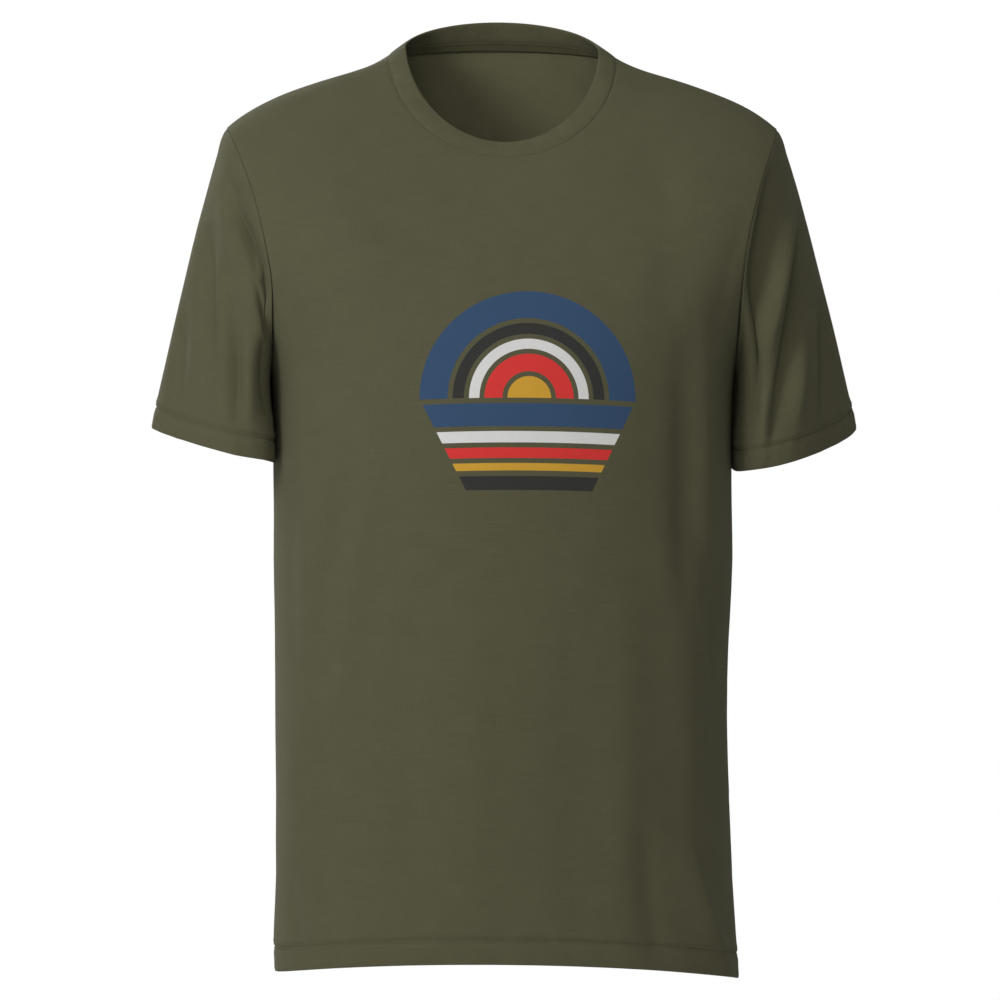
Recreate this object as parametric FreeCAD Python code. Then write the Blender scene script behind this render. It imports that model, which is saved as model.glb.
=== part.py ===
# Crew neck t-shirt in its worn shape, as on an unseen dress form.
# Millimetres. Z is up, the front of the shirt faces -Y, the wearer's left is +X.
# The origin lies midway between the two side neck points, where the shirt hangs on the shoulders.
import FreeCAD, Part
import math
import os
from FreeCAD import Vector

SIZES = [
    ("BodyLength", 736, "side neck point down to the hem at the side"),
    ("HemLift", 15, "how much higher the hem lies at the middle of the front and back"),
    ("HemHalfWidth", 184, "half width of the body at the hem"),
    ("ChestHalfWidth", 183, "half width of the body at the armholes' lower ends"),
    ("ShoulderHalfWidth", 217, "middle plane to the shoulder point"),
    ("ShoulderDrop", 50, "side neck point down to the shoulder point"),
    ("ShoulderSeamFall", 7, "shoulder point down to the top of the armhole seam"),
    ("ShoulderRoll", 23, "how far the skin swells past the armhole seam, over the upper arm"),
    ("ArmholeDepth", 202, "shoulder point down to the underarm"),
    ("ArmholeBow", 12.5, "how far the armhole seam bows in from a straight line"),
    ("NeckHalfWidth", 91, "middle plane to the side neck point"),
    ("NeckDropFront", 82, "side neck point down to the collar seam in front"),
    ("NeckRiseBack", 17, "side neck point up to the collar seam at the back"),
    ("NeckDepthFront", 62, "collar seam in front of the shoulder line"),
    ("NeckDepthBack", 66, "collar seam behind the shoulder line"),
    ("ChestDepthFront", 137, "chest in front of the shoulder line"),
    ("HemDepthFront", 133, "hem in front of the shoulder line"),
    ("ChestDepthBack", 123, "shoulder blades behind the shoulder line"),
    ("HemDepthBack", 127, "hem behind the shoulder line"),
    ("ClothThickness", 1, "jersey with its loft"),
    ("CollarWidth", 16, "rib collar from its seam to its fold"),
    ("CollarLeanFront", 10, "how far the rib leans in towards the neck in front"),
    ("CollarLeanBack", 5, "how far it leans in behind"),
    ("CollarLeanSide", 13.5, "how far it leans in over the shoulders"),
    ("CollarThickness", 2, "two layers of rib"),
    ("TapeWidth", 7, "neck tape below the collar seam at the back"),
    ("TapeThickness", 0.8, "neck tape"),
    ("HemWidth", 20, "body hem turned up inside"),
    ("SleeveHemWidth", 17, "sleeve hem turned up inside"),
    ("TurnUpThickness", 0.9, "hem layer inside"),
    ("SeamWidth", 7, "overlocked seam allowance inside"),
    ("SeamThickness", 1.2, "overlocked seam allowance"),
    ("SeatGap", 0.2, "air between a seam allowance and the cloth that it lies on"),
    ("JoinGap", 0.4, "air between two cloth edges that meet at a seam"),
    ("SleeveOpeningWidth", 98, "sleeve opening, side to side"),
    ("SleeveOpeningDepth", 122, "sleeve opening, front to back"),
    ("SleeveLength", 246, "top of the armhole seam to the hem along the outside"),
    ("SleeveTilt", 16.5, "slope of the sleeve hem in degrees"),
    ("SleeveClearance", 1.5, "air between the sleeve's inner side and the body"),
]

FRONT, BACK = -1, 1

# Ratios of the hanging jersey's shape: how boxy a level is at the sides and in the middle,
# how boxy the collar seam is and how fast it leaves the shoulder, how the yoke comes in
# from the chest to the collar, and how the sleeve spreads
SIDE_FULLNESS = 0.75
BODY_FULLNESS = 0.75
NECK_FULLNESS = {FRONT: 0.84, BACK: 0.98}
NECK_SLOPE = {FRONT: 0.52, BACK: 0.09}
FRONT_CURVE = 1.85
BACK_CURVE = 2.7
ROW_SPACING = 1.3
SLEEVE_ROUNDNESS = 0.86
# how square the sleeve hem is beside the body: a low power is square
SLEEVE_SQUARENESS = {FRONT: 0.8, BACK: 0.6}
SLEEVE_NARROWING = 0.55

# How far the chest level lies below the underarm, as a share of the side seam
CHEST_SHARE = 0.12

# How finely a free form is described
YOKE_BANDS = 12
HALF_LOOP_POINTS = 6
SLEEVE_BANDS = 7
PLACE_TOLERANCE = 1e-7

# Weights at the middle of a curve with six poles
END_POLE, NEXT_POLE, INNER_POLE = 1 / 32, 5 / 32, 10 / 32

doc = FreeCAD.newDocument("CrewNeckTShirt")
sheet = doc.addObject("Spreadsheet::Sheet", "Sizes")
for line, (alias, value, note) in enumerate(SIZES, 1):
    sheet.set("A%d" % line, alias)
    sheet.set("B%d" % line, str(value))
    sheet.set("C%d" % line, note)
    sheet.setAlias("B%d" % line, alias)
doc.recompute()


def size(alias):
    """One size from the sheet."""
    return float(sheet.get(alias))


cloth = size("ClothThickness")
seat = size("SeatGap")
join = size("JoinGap")
under_cloth = cloth + seat


# Cloth pieces: a curve is a row of poles, and a level of a piece is a list of curves, end to end.
# Between neighbouring levels the cloth is straight.

def between(first, second):
    """The face of straight lines between two curves with as many poles."""
    count = len(first)
    surface = Part.BSplineSurface()
    surface.buildFromPolesMultsKnots(
        [list(pair) for pair in zip(first, second)],
        [count, count], [2, 2], [0, 1], [0, 1], False, False, count - 1, 1)
    return surface.toShape()


def cloth_piece(outer, inner, closed=False):
    """A solid from the levels of its outer and inner side; closed where its levels run right round."""
    faces = []
    for side in (outer, inner):
        for low, high in zip(side, side[1:]):
            faces += [between(a, b) for a, b in zip(low, high)]
    for level in (0, -1):
        faces += [between(a, b) for a, b in zip(outer[level], inner[level])]
    if not closed:
        # the first pole of the first curve and the last pole of the last one
        for end in (0, -1):
            outside = [level[end][end] for level in outer]
            inside = [level[end][end] for level in inner]
            for i in range(len(outer) - 1):
                faces.append(between(outside[i:i + 2], inside[i:i + 2]))
    shell = Part.Shell(faces)
    shell.sewShape()
    solid = Part.Solid(Part.Shell(shell.Faces))
    if solid.Volume < 0:
        solid.reverse()
    return solid


def through(points):
    """The poles of a smooth curve through points."""
    last = len(points) - 1
    bezier = Part.BezierCurve()
    bezier.increase(last)
    bezier.interpolate([[point] for point in points], [i / last for i in range(last + 1)])
    return bezier.getPoles()


def moved_in(line, depth):
    """An open line of (across, height) points moved square to itself, towards the body."""
    moved = []
    for i, (across, height) in enumerate(line):
        before = line[max(i - 1, 0)]
        after = line[min(i + 1, len(line) - 1)]
        run, rise = after[0] - before[0], after[1] - before[1]
        reach = math.hypot(run, rise)
        moved.append((across - depth * rise / reach, height + depth * run / reach))
    return moved


def half_row(side, middle, facing, slope=0.0, fullness=BODY_FULLNESS):
    """Six poles of one half of a level, from the wearer's left side round to the right.

    side is (x, z) on the side line and middle is (y, z) on the front or back middle line;
    facing is -1 in front and 1 behind. The curve passes through both.
    """
    half_width, side_height = side
    depth, middle_height = middle
    near = SIDE_FULLNESS * depth
    near_height = side_height + facing * slope * near
    far = (depth / 2 - NEXT_POLE * near) / INNER_POLE
    far_height = (middle_height / 2 - END_POLE * side_height - NEXT_POLE * near_height) / INNER_POLE
    right = [
        Vector(half_width, 0, side_height),
        Vector(half_width, facing * near, near_height),
        Vector(fullness * half_width, facing * far, far_height),
    ]
    left = [Vector(-pole.x, pole.y, pole.z) for pole in reversed(right)]
    return right + left


def partway(low, high, share):
    """The row of poles a share of the way from one row to another."""
    return [a + (b - a) * share for a, b in zip(low, high)]


def mirrored(shape):
    """The same shape on the other side of the middle plane."""
    return shape.mirror(Vector(0, 0, 0), Vector(1, 0, 0))


def largest(shape):
    """The main solid of a shape, without the scraps beyond a cut."""
    return max(shape.Solids, key=lambda solid: solid.Volume)


# Body: levels from the hem up to the collar seam, each with a place on the side line and on a middle line

drop = size("ShoulderDrop")
seam_drop = drop + size("ShoulderSeamFall")
tip = size("ShoulderHalfWidth")
neck = size("NeckHalfWidth")
chest = size("ChestHalfWidth")
roll = size("ShoulderRoll")
length = size("BodyLength")
armhole = size("ArmholeDepth")
underarm = drop + armhole
chest_height = -underarm - CHEST_SHARE * (length - underarm)
slope_run = tip - neck

# (x, z) on the side line: hem and chest, then the rows of the yoke up to the side neck point
side_line = [
    (size("HemHalfWidth"), -length),
    (chest, chest_height),
    (chest, -underarm - 0.02 * armhole),
    (chest + 0.3 * roll, -underarm + 0.12 * armhole),
    (tip - 0.2 * roll, -underarm + 0.36 * armhole),
    (tip + 0.8 * roll, -underarm + 0.6 * armhole),
    (tip + roll, -drop - 0.17 * armhole),
    (tip + 0.25 * roll, -drop - 0.02 * armhole),
    (neck + 0.7 * slope_run, -0.6 * drop),
    (neck + 0.34 * slope_run, -0.31 * drop),
    (neck + 0.1 * slope_run, -0.15 * drop),
    (neck, 0),
]
YOKE_START = 1
NECK_ROWS = 4


def middle_line(hem_depth, chest_depth, collar_depth, collar_height, curved):
    """(depth, z) on the middle line of the front or back, for each place on the side line."""
    line = [(hem_depth, -length + size("HemLift"))]
    rows = len(side_line) - len(line) - 1
    for i in range(rows + 1):
        # rows lie closer together towards the collar, as they do on the side line
        share = 1 - (1 - i / rows) ** ROW_SPACING
        way_in = share ** curved
        line.append((chest_depth + (collar_depth - chest_depth) * way_in,
                     chest_height + (collar_height - chest_height) * share))
    return line


MIDDLE_LINES = {
    FRONT: middle_line(size("HemDepthFront"), size("ChestDepthFront"), size("NeckDepthFront"),
                       -size("NeckDropFront"), FRONT_CURVE),
    BACK: middle_line(size("HemDepthBack"), size("ChestDepthBack"), size("NeckDepthBack"),
                      size("NeckRiseBack"), BACK_CURVE),
}


def body_rows(facing, depth):
    """Rows of poles of the front or back at a depth under its outer side, hem first.

    The yoke is one smooth surface over its rows, cut into bands of straight cloth.
    """
    sides = moved_in(side_line, depth)
    middles = moved_in(MIDDLE_LINES[facing], depth)
    first_neck_row = len(sides) - 1 - NECK_ROWS
    rows = []
    for i, (side, middle) in enumerate(zip(sides, middles)):
        near_neck = max(0, i - first_neck_row) / NECK_ROWS
        fullness = BODY_FULLNESS + (NECK_FULLNESS[facing] - BODY_FULLNESS) * near_neck
        rows.append(half_row(side, middle, facing, NECK_SLOPE[facing] * near_neck, fullness))
    net = list(zip(*rows[YOKE_START:]))
    spans = len(net[0]) - 3
    yoke = Part.BSplineSurface()
    yoke.buildFromPolesMultsKnots(
        [list(line) for line in net],
        [len(net), len(net)], [4] + [1] * (spans - 1) + [4],
        [0, 1], list(range(spans + 1)), False, False, len(net) - 1, 3)
    bands = [yoke.vIso(spans * i / YOKE_BANDS).getPoles() for i in range(YOKE_BANDS + 1)]
    return rows[:YOKE_START] + bands


def side_point(is_past):
    """The first point of the body's side line, from below, where is_past holds."""
    line = [row[0] for row in body_rows(FRONT, 0)]
    low, high = next(pair for pair in zip(line, line[1:]) if is_past(pair[1]))
    while low.distanceToPoint(high) > PLACE_TOLERANCE:
        middle = (low + high) / 2
        if is_past(middle):
            high = middle
        else:
            low = middle
    return high


tip_point = side_point(lambda point: point.z > -seam_drop)
underarm_point = side_point(lambda point: point.z > -underarm)


# Armholes: one curved line seen from the front, cut straight through front and back

def armhole_arc(inset):
    """The armhole seam from the shoulder down to the underarm, or a line inside it."""
    top = side_point(lambda point: point.z > -seam_drop and point.x <= tip_point.x - inset)
    bottom = side_point(lambda point: point.z > -underarm - inset)
    bow = Vector(-size("ArmholeBow") - inset, 0, 0)
    return Part.Arc(top, (tip_point + underarm_point) / 2 + bow, bottom)


def armhole_cutter(inset):
    """Everything outside the armhole seam on the wearer's left."""
    arc = armhole_arc(inset)
    top, bottom = arc.StartPoint, arc.EndPoint
    reach = Vector(0, size("ChestDepthFront") + size("ChestDepthBack"), 0)
    over = Vector(top.x, 0, drop)
    far = tip + 2 * roll
    outline = [
        arc.toShape(),
        Part.makeLine(bottom, Vector(far, 0, bottom.z)),
        Part.makeLine(Vector(far, 0, bottom.z), Vector(far, 0, drop)),
        Part.makeLine(Vector(far, 0, drop), over),
        Part.makeLine(over, top),
    ]
    profile = Part.Face(Part.Wire(outline))
    profile.translate(-reach)
    return profile.extrude(reach * 2)


def armhole_half(facing):
    """Points of the armhole on the front or back, from the underarm up to the shoulder."""
    arc = armhole_arc(0)
    rows = body_rows(facing, 0)[YOKE_START:]
    skin = Part.Compound([between(low, high) for low, high in zip(rows, rows[1:])])
    away = Vector(0, facing * 2 * size("ChestDepthFront"), 0)
    points = []
    for i in range(1, HALF_LOOP_POINTS - 1):
        # close together at both ends, where the line turns round to the other half
        share = (1 - math.cos(math.pi * i / (HALF_LOOP_POINTS - 1))) / 2
        seen = arc.value(arc.LastParameter + (arc.FirstParameter - arc.LastParameter) * share)
        points.append(Part.makeLine(seen, seen + away).distToShape(skin)[1][-1][0])
    return [arc.EndPoint] + points + [arc.StartPoint]


def body_panel(facing):
    """The front or back of the body, with both armholes cut out."""
    levels = [[[row] for row in body_rows(facing, depth)] for depth in (0, cloth)]
    arm = armhole_cutter(0)
    return largest(cloth_piece(*levels).cut([arm, mirrored(arm)]))


def body_ring(depth, thickness, pick):
    """A ring under the cloth; pick takes the levels that it needs from the rows of poles."""
    sides = []
    for under in (depth, depth + thickness):
        halves = [pick(body_rows(facing, under)) for facing in (FRONT, BACK)]
        sides.append(list(zip(*halves)))
    return cloth_piece(*sides, closed=True)


# Sleeves: from the armhole to a tilted oval hem, with a seam of their own under the arm

armhole_points = {facing: armhole_half(facing) for facing in (FRONT, BACK)}


def hem_fullness(facing, angle):
    """How full the sleeve hem is at an angle: fullest near the body, narrowing to its outer fold."""
    outward_share = (1 - math.cos(angle)) / 2
    power = SLEEVE_SQUARENESS[facing] + (1 - SLEEVE_SQUARENESS[facing]) * outward_share
    return math.sin(angle) ** power * (1 - SLEEVE_NARROWING * outward_share)


def sleeve_hem_point(facing, share):
    """A point of the sleeve hem's outer side, a share of the way from the body out to the far side."""
    half_opening = size("SleeveOpeningWidth") / 2
    half_depth = size("SleeveOpeningDepth") / 2
    tilt = math.radians(size("SleeveTilt"))
    outward = Vector(math.cos(tilt), 0, math.sin(tilt))
    outer_x = underarm_point.x + size("SleeveClearance") + 2 * half_opening * outward.x
    fall = math.sqrt(size("SleeveLength") ** 2 - (outer_x - tip_point.x) ** 2)
    centre = Vector(outer_x, 0, tip_point.z - fall) - outward * half_opening
    angle = math.pi * share
    fullest = max(hem_fullness(facing, math.pi * i / 60) for i in range(61))
    depth = half_depth * hem_fullness(facing, angle) / fullest
    return centre - outward * half_opening * math.cos(angle) + Vector(0, facing * depth, 0)


def sleeve_point(facing, i, down):
    """A point of the sleeve's outer side, i places up from the underarm and a share of the way down."""
    start = armhole_points[facing][i] + Vector(join, 0, 0)
    end = sleeve_hem_point(facing, i / (HALF_LOOP_POINTS - 1))
    point = start + (end - start) * down
    point.x = start.x + (end.x - start.x) * down ** SLEEVE_ROUNDNESS
    return point


def sleeve_half(facing, down, depth):
    """Half of the sleeve's outline a share of the way down, at a depth under its outer side."""
    last = HALF_LOOP_POINTS - 1
    step = 0.5 / SLEEVE_BANDS
    points = []
    for i in range(HALF_LOOP_POINTS):
        # past either end the line goes on round the other half
        before = sleeve_point(facing, i - 1, down) if i else sleeve_point(-facing, 1, down)
        after = sleeve_point(facing, i + 1, down) if i < last else sleeve_point(-facing, last - 1, down)
        along = sleeve_point(facing, i, min(down + step, 1)) - sleeve_point(facing, i, max(down - step, 0))
        inwards = (before - after).cross(along) * facing
        if down == 0:
            # the cut edge keeps clear of the body's
            inwards.x = max(inwards.x, 0)
        inwards.normalize()
        points.append(sleeve_point(facing, i, down) + inwards * depth)
    points[-1].y = 0
    # the slit of the underarm seam
    points[0].y = facing * join / 2
    # the outline goes up the front and down the back
    return through(points[::-facing])


def sleeve_piece(levels, outer_depth, thickness):
    """The sleeve between levels, each a share of the way down; open along the underarm seam."""
    sides = []
    for depth in (outer_depth, outer_depth + thickness):
        sides.append([[sleeve_half(FRONT, down, depth), sleeve_half(BACK, down, depth)]
                      for down in levels])
    return cloth_piece(*sides)


def sleeve():
    return sleeve_piece([i / SLEEVE_BANDS for i in range(SLEEVE_BANDS + 1)], 0, cloth)


def sleeve_hem():
    start = 1 - size("SleeveHemWidth") / size("SleeveLength")
    return sleeve_piece([start, 1], under_cloth, size("TurnUpThickness"))


# Neckline: the rib collar, the neck tape behind and the seam allowance in front

def collar_row(facing, share, depth):
    """Poles of the rib a share of the way from its seam to its fold, at a depth under its outer side."""
    width, lean_side = size("CollarWidth"), size("CollarLeanSide")
    lean = size("CollarLeanFront" if facing == FRONT else "CollarLeanBack")
    depth_out, height = MIDDLE_LINES[facing][-1]
    side_fold = (neck - lean_side, math.sqrt(width ** 2 - lean_side ** 2))
    middle_fold = (depth_out - lean, height + math.sqrt(width ** 2 - lean ** 2))
    sides = moved_in([side_line[-1], side_fold], depth)
    middles = moved_in([(depth_out, height), middle_fold], depth)
    low, high = [half_row(side, middle, facing, NECK_SLOPE[facing], NECK_FULLNESS[facing])
                 for side, middle in zip(sides, middles)]
    return partway(low, high, share)


def neck_rib():
    """The double rib collar, a ring from its seam up to its fold."""
    start = join / size("CollarWidth")
    sides = []
    for depth in (0, size("CollarThickness")):
        sides.append([[collar_row(FRONT, share, depth), collar_row(BACK, share, depth)]
                      for share in (start, 1)])
    return cloth_piece(*sides, closed=True)


def neck_strip(facing, thickness):
    """A strip inside the collar seam, all along the front or the back."""
    sides = []
    for depth in (under_cloth, under_cloth + thickness):
        low, high = body_rows(facing, depth)[-2:]
        # its full width in the middle, and less towards the shoulders, where the yoke narrows
        share = size("TapeWidth") / low[2].distanceToPoint(high[2])
        sides.append([[partway(high, low, share)], [high]])
    return cloth_piece(*sides)


# Hem and seam allowances: parts of rings under the cloth

def body_hem():
    """The ring turned up inside the hem."""
    share = size("HemWidth") / (length + chest_height)
    return body_ring(under_cloth, size("TurnUpThickness"),
                     lambda rows: [rows[0], partway(rows[0], rows[1], share)])


seam_ring = body_ring(under_cloth, size("SeamThickness"), lambda rows: rows[:-1])


def seam_strip(low, high):
    """The seam allowance along the side line on the wearer's left, between two heights."""
    width = size("SeamWidth")
    block = Part.makeBox(tip + roll, width, high - low, Vector(0, -width / 2, low))
    return seam_ring.common(block)


def side_seam():
    """The seam allowance from the hem to the armhole."""
    return seam_strip(-length + size("HemWidth") + join, -underarm - size("SeamWidth") - join)


def shoulder_seam():
    """The seam allowance from the armhole's to the collar's."""
    clear = size("SeamWidth") + join
    return largest(seam_strip(-underarm, drop).cut(armhole_cutter(clear)))


def armhole_seam():
    """The ring of seam allowance round the armhole, inside the front and back."""
    return seam_ring.common(armhole_cutter(size("SeamWidth"))).cut(armhole_cutter(0))


PARTS = []


def add_part(name, shape):
    """A sub-part of the shirt as an object of the document."""
    feature = doc.addObject("Part::Feature", name)
    feature.Label = name
    feature.Shape = shape
    feature.Placement = FreeCAD.Placement()
    PARTS.append(feature)


def add_pair(name, shape):
    """The same sub-part on the wearer's left and right."""
    add_part(name + "_left", shape)
    add_part(name + "_right", mirrored(shape))


add_part("front_panel", body_panel(FRONT))
add_part("back_panel", body_panel(BACK))
add_pair("sleeve", sleeve())
add_part("neck_rib", neck_rib())
add_part("neck_tape", neck_strip(BACK, size("TapeThickness")))
add_part("front_neck_seam", neck_strip(FRONT, size("SeamThickness")))
add_part("body_hem", body_hem())
add_pair("sleeve_hem", sleeve_hem())
add_pair("side_seam", side_seam())
add_pair("shoulder_seam", shoulder_seam())
add_pair("armhole_seam", armhole_seam())

doc.recompute()
os.makedirs("parts", exist_ok=True)
for feature in PARTS:
    bad = [state for state in feature.State if state in ("Invalid", "Error")]
    if bad or feature.Shape.isNull() or not feature.Shape.isValid():
        raise RuntimeError("%s did not build" % feature.Label)
for feature in PARTS:
    feature.Shape.exportStep("parts/%s.step" % feature.Label)
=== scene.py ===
"""Crew neck t-shirt as on an unseen form: cloth, rib, hems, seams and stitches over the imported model."""
import math

import bpy
import numpy as np
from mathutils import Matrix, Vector, noise

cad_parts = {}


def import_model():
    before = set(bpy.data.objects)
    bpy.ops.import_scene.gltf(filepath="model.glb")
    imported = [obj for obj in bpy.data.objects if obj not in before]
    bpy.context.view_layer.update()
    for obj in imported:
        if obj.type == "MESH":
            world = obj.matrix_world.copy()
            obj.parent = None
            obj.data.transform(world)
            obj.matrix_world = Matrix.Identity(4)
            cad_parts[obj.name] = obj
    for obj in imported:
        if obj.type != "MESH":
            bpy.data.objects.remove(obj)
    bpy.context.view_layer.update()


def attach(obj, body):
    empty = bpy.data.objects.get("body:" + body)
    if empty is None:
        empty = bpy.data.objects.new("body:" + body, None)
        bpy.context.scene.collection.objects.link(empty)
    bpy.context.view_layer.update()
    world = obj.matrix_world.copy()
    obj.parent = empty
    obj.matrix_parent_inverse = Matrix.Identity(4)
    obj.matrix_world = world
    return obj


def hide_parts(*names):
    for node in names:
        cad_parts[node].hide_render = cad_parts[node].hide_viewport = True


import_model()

# Sizes in metres, the same as the model's
LENGTH = 0.736
HEM_LIFT = 0.015
HEM_HALF = 0.184
CHEST_HALF = 0.183
SHOULDER_HALF = 0.217
SHOULDER_DROP = 0.050
SHOULDER_ROLL = 0.023
ARMHOLE_DEPTH = 0.202
ARMHOLE_BOW = 0.0125
NECK_HALF = 0.091
SHOULDER_SEAM_FALL = 0.007
NECK_DROP_FRONT = 0.082
NECK_RISE_BACK = 0.017
NECK_DEPTH_FRONT, NECK_DEPTH_BACK = 0.062, 0.066
CHEST_DEPTH_FRONT, CHEST_DEPTH_BACK = 0.137, 0.123
HEM_DEPTH_FRONT, HEM_DEPTH_BACK = 0.133, 0.127
COLLAR_WIDTH = 0.016
COLLAR_SIDE_LEAN = 0.0135
COLLAR_LEAN_FRONT, COLLAR_LEAN_BACK = 0.010, 0.005
TAPE_WIDTH = 0.007
HEM_WIDTH = 0.020
SLEEVE_HEM_WIDTH = 0.017
SEAM_WIDTH = 0.007
SLEEVE_OPENING_WIDTH = 0.098
SLEEVE_OPENING_DEPTH = 0.122
SLEEVE_LENGTH = 0.246
SLEEVE_TILT = math.radians(16.5)
SLEEVE_CLEARANCE = 0.0006
SEAM_GAP = 0.0004
TWIN_GAP = 0.0032

# Ratios of the hanging jersey's shape, as in the model
SIDE_FULLNESS = 0.75
BODY_FULLNESS = 0.75
FRONT_CURVE, BACK_CURVE = 1.85, 2.7
ROW_SPACING = 1.3
SLEEVE_ROUNDNESS = 0.86
CHEST_SHARE = 0.12
NECK_ROWS = 4
# by side: how square the neckline is and how fast it leaves the shoulder
NECK_FULLNESS = {-1: 0.84, 1: 0.98}
NECK_SLOPE = {-1: 0.52, 1: 0.09}
END_POLE, NEXT_POLE, INNER_POLE = 1 / 32, 5 / 32, 10 / 32

# Cloth: thickness of the jersey and of a layer inside it, how deep that layer lies, the rib's pitch
JERSEY = 0.0008
LAYER = 0.0007
LAYER_DEPTH = JERSEY + 0.0003
RIB_PITCH = 0.0013
# Size of a mesh cell on the panels and on the sleeves
CELL, SLEEVE_CELL = 0.0035, 0.0022

FRONT, BACK = -1, 1
UNDERARM = SHOULDER_DROP + ARMHOLE_DEPTH
CHEST_HEIGHT = -UNDERARM - CHEST_SHARE * (LENGTH - UNDERARM)
SLOPE_RUN = SHOULDER_HALF - NECK_HALF
# Places on the panels times this lie well inside the body
INSIDE = (0.55, 0, 1)
# Samples along a line whose length is measured
SAMPLES = 4001


# The smooth body, evaluated from the same rows of poles as the model

SIDE_LINE = [
    (HEM_HALF, -LENGTH),
    (CHEST_HALF, CHEST_HEIGHT),
    (CHEST_HALF, -UNDERARM - 0.02 * ARMHOLE_DEPTH),
    (CHEST_HALF + 0.3 * SHOULDER_ROLL, -UNDERARM + 0.12 * ARMHOLE_DEPTH),
    (SHOULDER_HALF - 0.2 * SHOULDER_ROLL, -UNDERARM + 0.36 * ARMHOLE_DEPTH),
    (SHOULDER_HALF + 0.8 * SHOULDER_ROLL, -UNDERARM + 0.6 * ARMHOLE_DEPTH),
    (SHOULDER_HALF + SHOULDER_ROLL, -SHOULDER_DROP - 0.17 * ARMHOLE_DEPTH),
    (SHOULDER_HALF + 0.25 * SHOULDER_ROLL, -SHOULDER_DROP - 0.02 * ARMHOLE_DEPTH),
    (NECK_HALF + 0.7 * SLOPE_RUN, -0.6 * SHOULDER_DROP),
    (NECK_HALF + 0.34 * SLOPE_RUN, -0.31 * SHOULDER_DROP),
    (NECK_HALF + 0.1 * SLOPE_RUN, -0.15 * SHOULDER_DROP),
    (NECK_HALF, 0),
]


def middle_line(hem_depth, chest_depth, neck_depth, collar_height, curved):
    line = [(hem_depth, -LENGTH + HEM_LIFT)]
    rows = len(SIDE_LINE) - 2
    for i in range(rows + 1):
        share = 1 - (1 - i / rows) ** ROW_SPACING
        line.append((chest_depth + (neck_depth - chest_depth) * share ** curved,
                     CHEST_HEIGHT + (collar_height - CHEST_HEIGHT) * share))
    return line


MIDDLE_LINES = {
    FRONT: middle_line(HEM_DEPTH_FRONT, CHEST_DEPTH_FRONT, NECK_DEPTH_FRONT, -NECK_DROP_FRONT, FRONT_CURVE),
    BACK: middle_line(HEM_DEPTH_BACK, CHEST_DEPTH_BACK, NECK_DEPTH_BACK, NECK_RISE_BACK, BACK_CURVE),
}


def half_row(side, middle, facing, slope=0.0, fullness=BODY_FULLNESS):
    """Six poles of half a level, from the wearer's left round to the right."""
    half_width, side_height = side
    depth, middle_height = middle
    near = SIDE_FULLNESS * depth
    near_height = side_height + facing * slope * near
    far = (depth / 2 - NEXT_POLE * near) / INNER_POLE
    far_height = (middle_height / 2 - END_POLE * side_height - NEXT_POLE * near_height) / INNER_POLE
    right = np.array([
        (half_width, 0, side_height),
        (half_width, facing * near, near_height),
        (fullness * half_width, facing * far, far_height)])
    return np.concatenate([right, right[::-1] * (-1, 1, 1)])


def body_net(facing):
    rows = []
    first_neck_row = len(SIDE_LINE) - 1 - NECK_ROWS
    for i, (side, middle) in enumerate(zip(SIDE_LINE, MIDDLE_LINES[facing])):
        near_neck = max(0, i - first_neck_row) / NECK_ROWS
        fullness = BODY_FULLNESS + (NECK_FULLNESS[facing] - BODY_FULLNESS) * near_neck
        rows.append(half_row(side, middle, facing, NECK_SLOPE[facing] * near_neck, fullness))
    return np.array(rows)


NETS = {facing: body_net(facing) for facing in (FRONT, BACK)}
SPANS = len(SIDE_LINE) - 4
TOP = SPANS + 1


def round_weights(u):
    """Weights of the six poles round half a level."""
    u = np.asarray(u, float)[..., None]
    k = np.arange(6)
    choose = np.array([math.comb(5, i) for i in k])
    return choose * u ** k * (1 - u) ** (5 - k)


def up_weights(v):
    """Weights of the rows; v is 0 at the hem, 1 at the chest and TOP at the collar seam."""
    v = np.clip(np.asarray(v, float), 0, TOP)
    count = SPANS + 3
    knots = np.concatenate([[0] * 3, np.arange(SPANS + 1), [SPANS] * 3])
    place = np.clip(v - 1, 0, SPANS - 1e-9)[..., None]
    basis = ((place >= knots[:-1]) & (place < knots[1:])).astype(float)
    for degree in (1, 2, 3):
        left = knots[degree:-1] - knots[:-degree - 1]
        right = knots[degree + 1:] - knots[1:-degree]
        rising = np.where(left > 0, (place - knots[:-degree - 1]) / np.maximum(left, 1e-9), 0)
        falling = np.where(right > 0, (knots[degree + 1:] - place) / np.maximum(right, 1e-9), 0)
        basis = rising * basis[..., :-1] + falling * basis[..., 1:]
    weights = np.zeros(v.shape + (count + 1,))
    weights[..., 1:] = basis
    low = (v < 1)[..., None]
    below = np.zeros_like(weights)
    below[..., 0] = 1 - v
    below[..., 1] = v
    return np.where(low, below, weights)


def body(facing, u, v):
    """Points of the smooth body."""
    return np.einsum("...j,...i,jic->...c", up_weights(v), round_weights(u), NETS[facing])


# Armhole: an arc seen from the front

def side_place(is_past):
    """The first place up the side line where is_past holds."""
    places = np.linspace(0, TOP, SAMPLES)
    points = body(FRONT, np.zeros_like(places), places)
    return places[np.argmax([is_past(p) for p in points])]


TIP_PLACE = side_place(lambda p: p[2] > -SHOULDER_DROP - SHOULDER_SEAM_FALL)
UNDERARM_PLACE = side_place(lambda p: p[2] > -UNDERARM)
TIP = body(FRONT, 0, TIP_PLACE)
ARMPIT = body(FRONT, 0, UNDERARM_PLACE)


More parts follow.
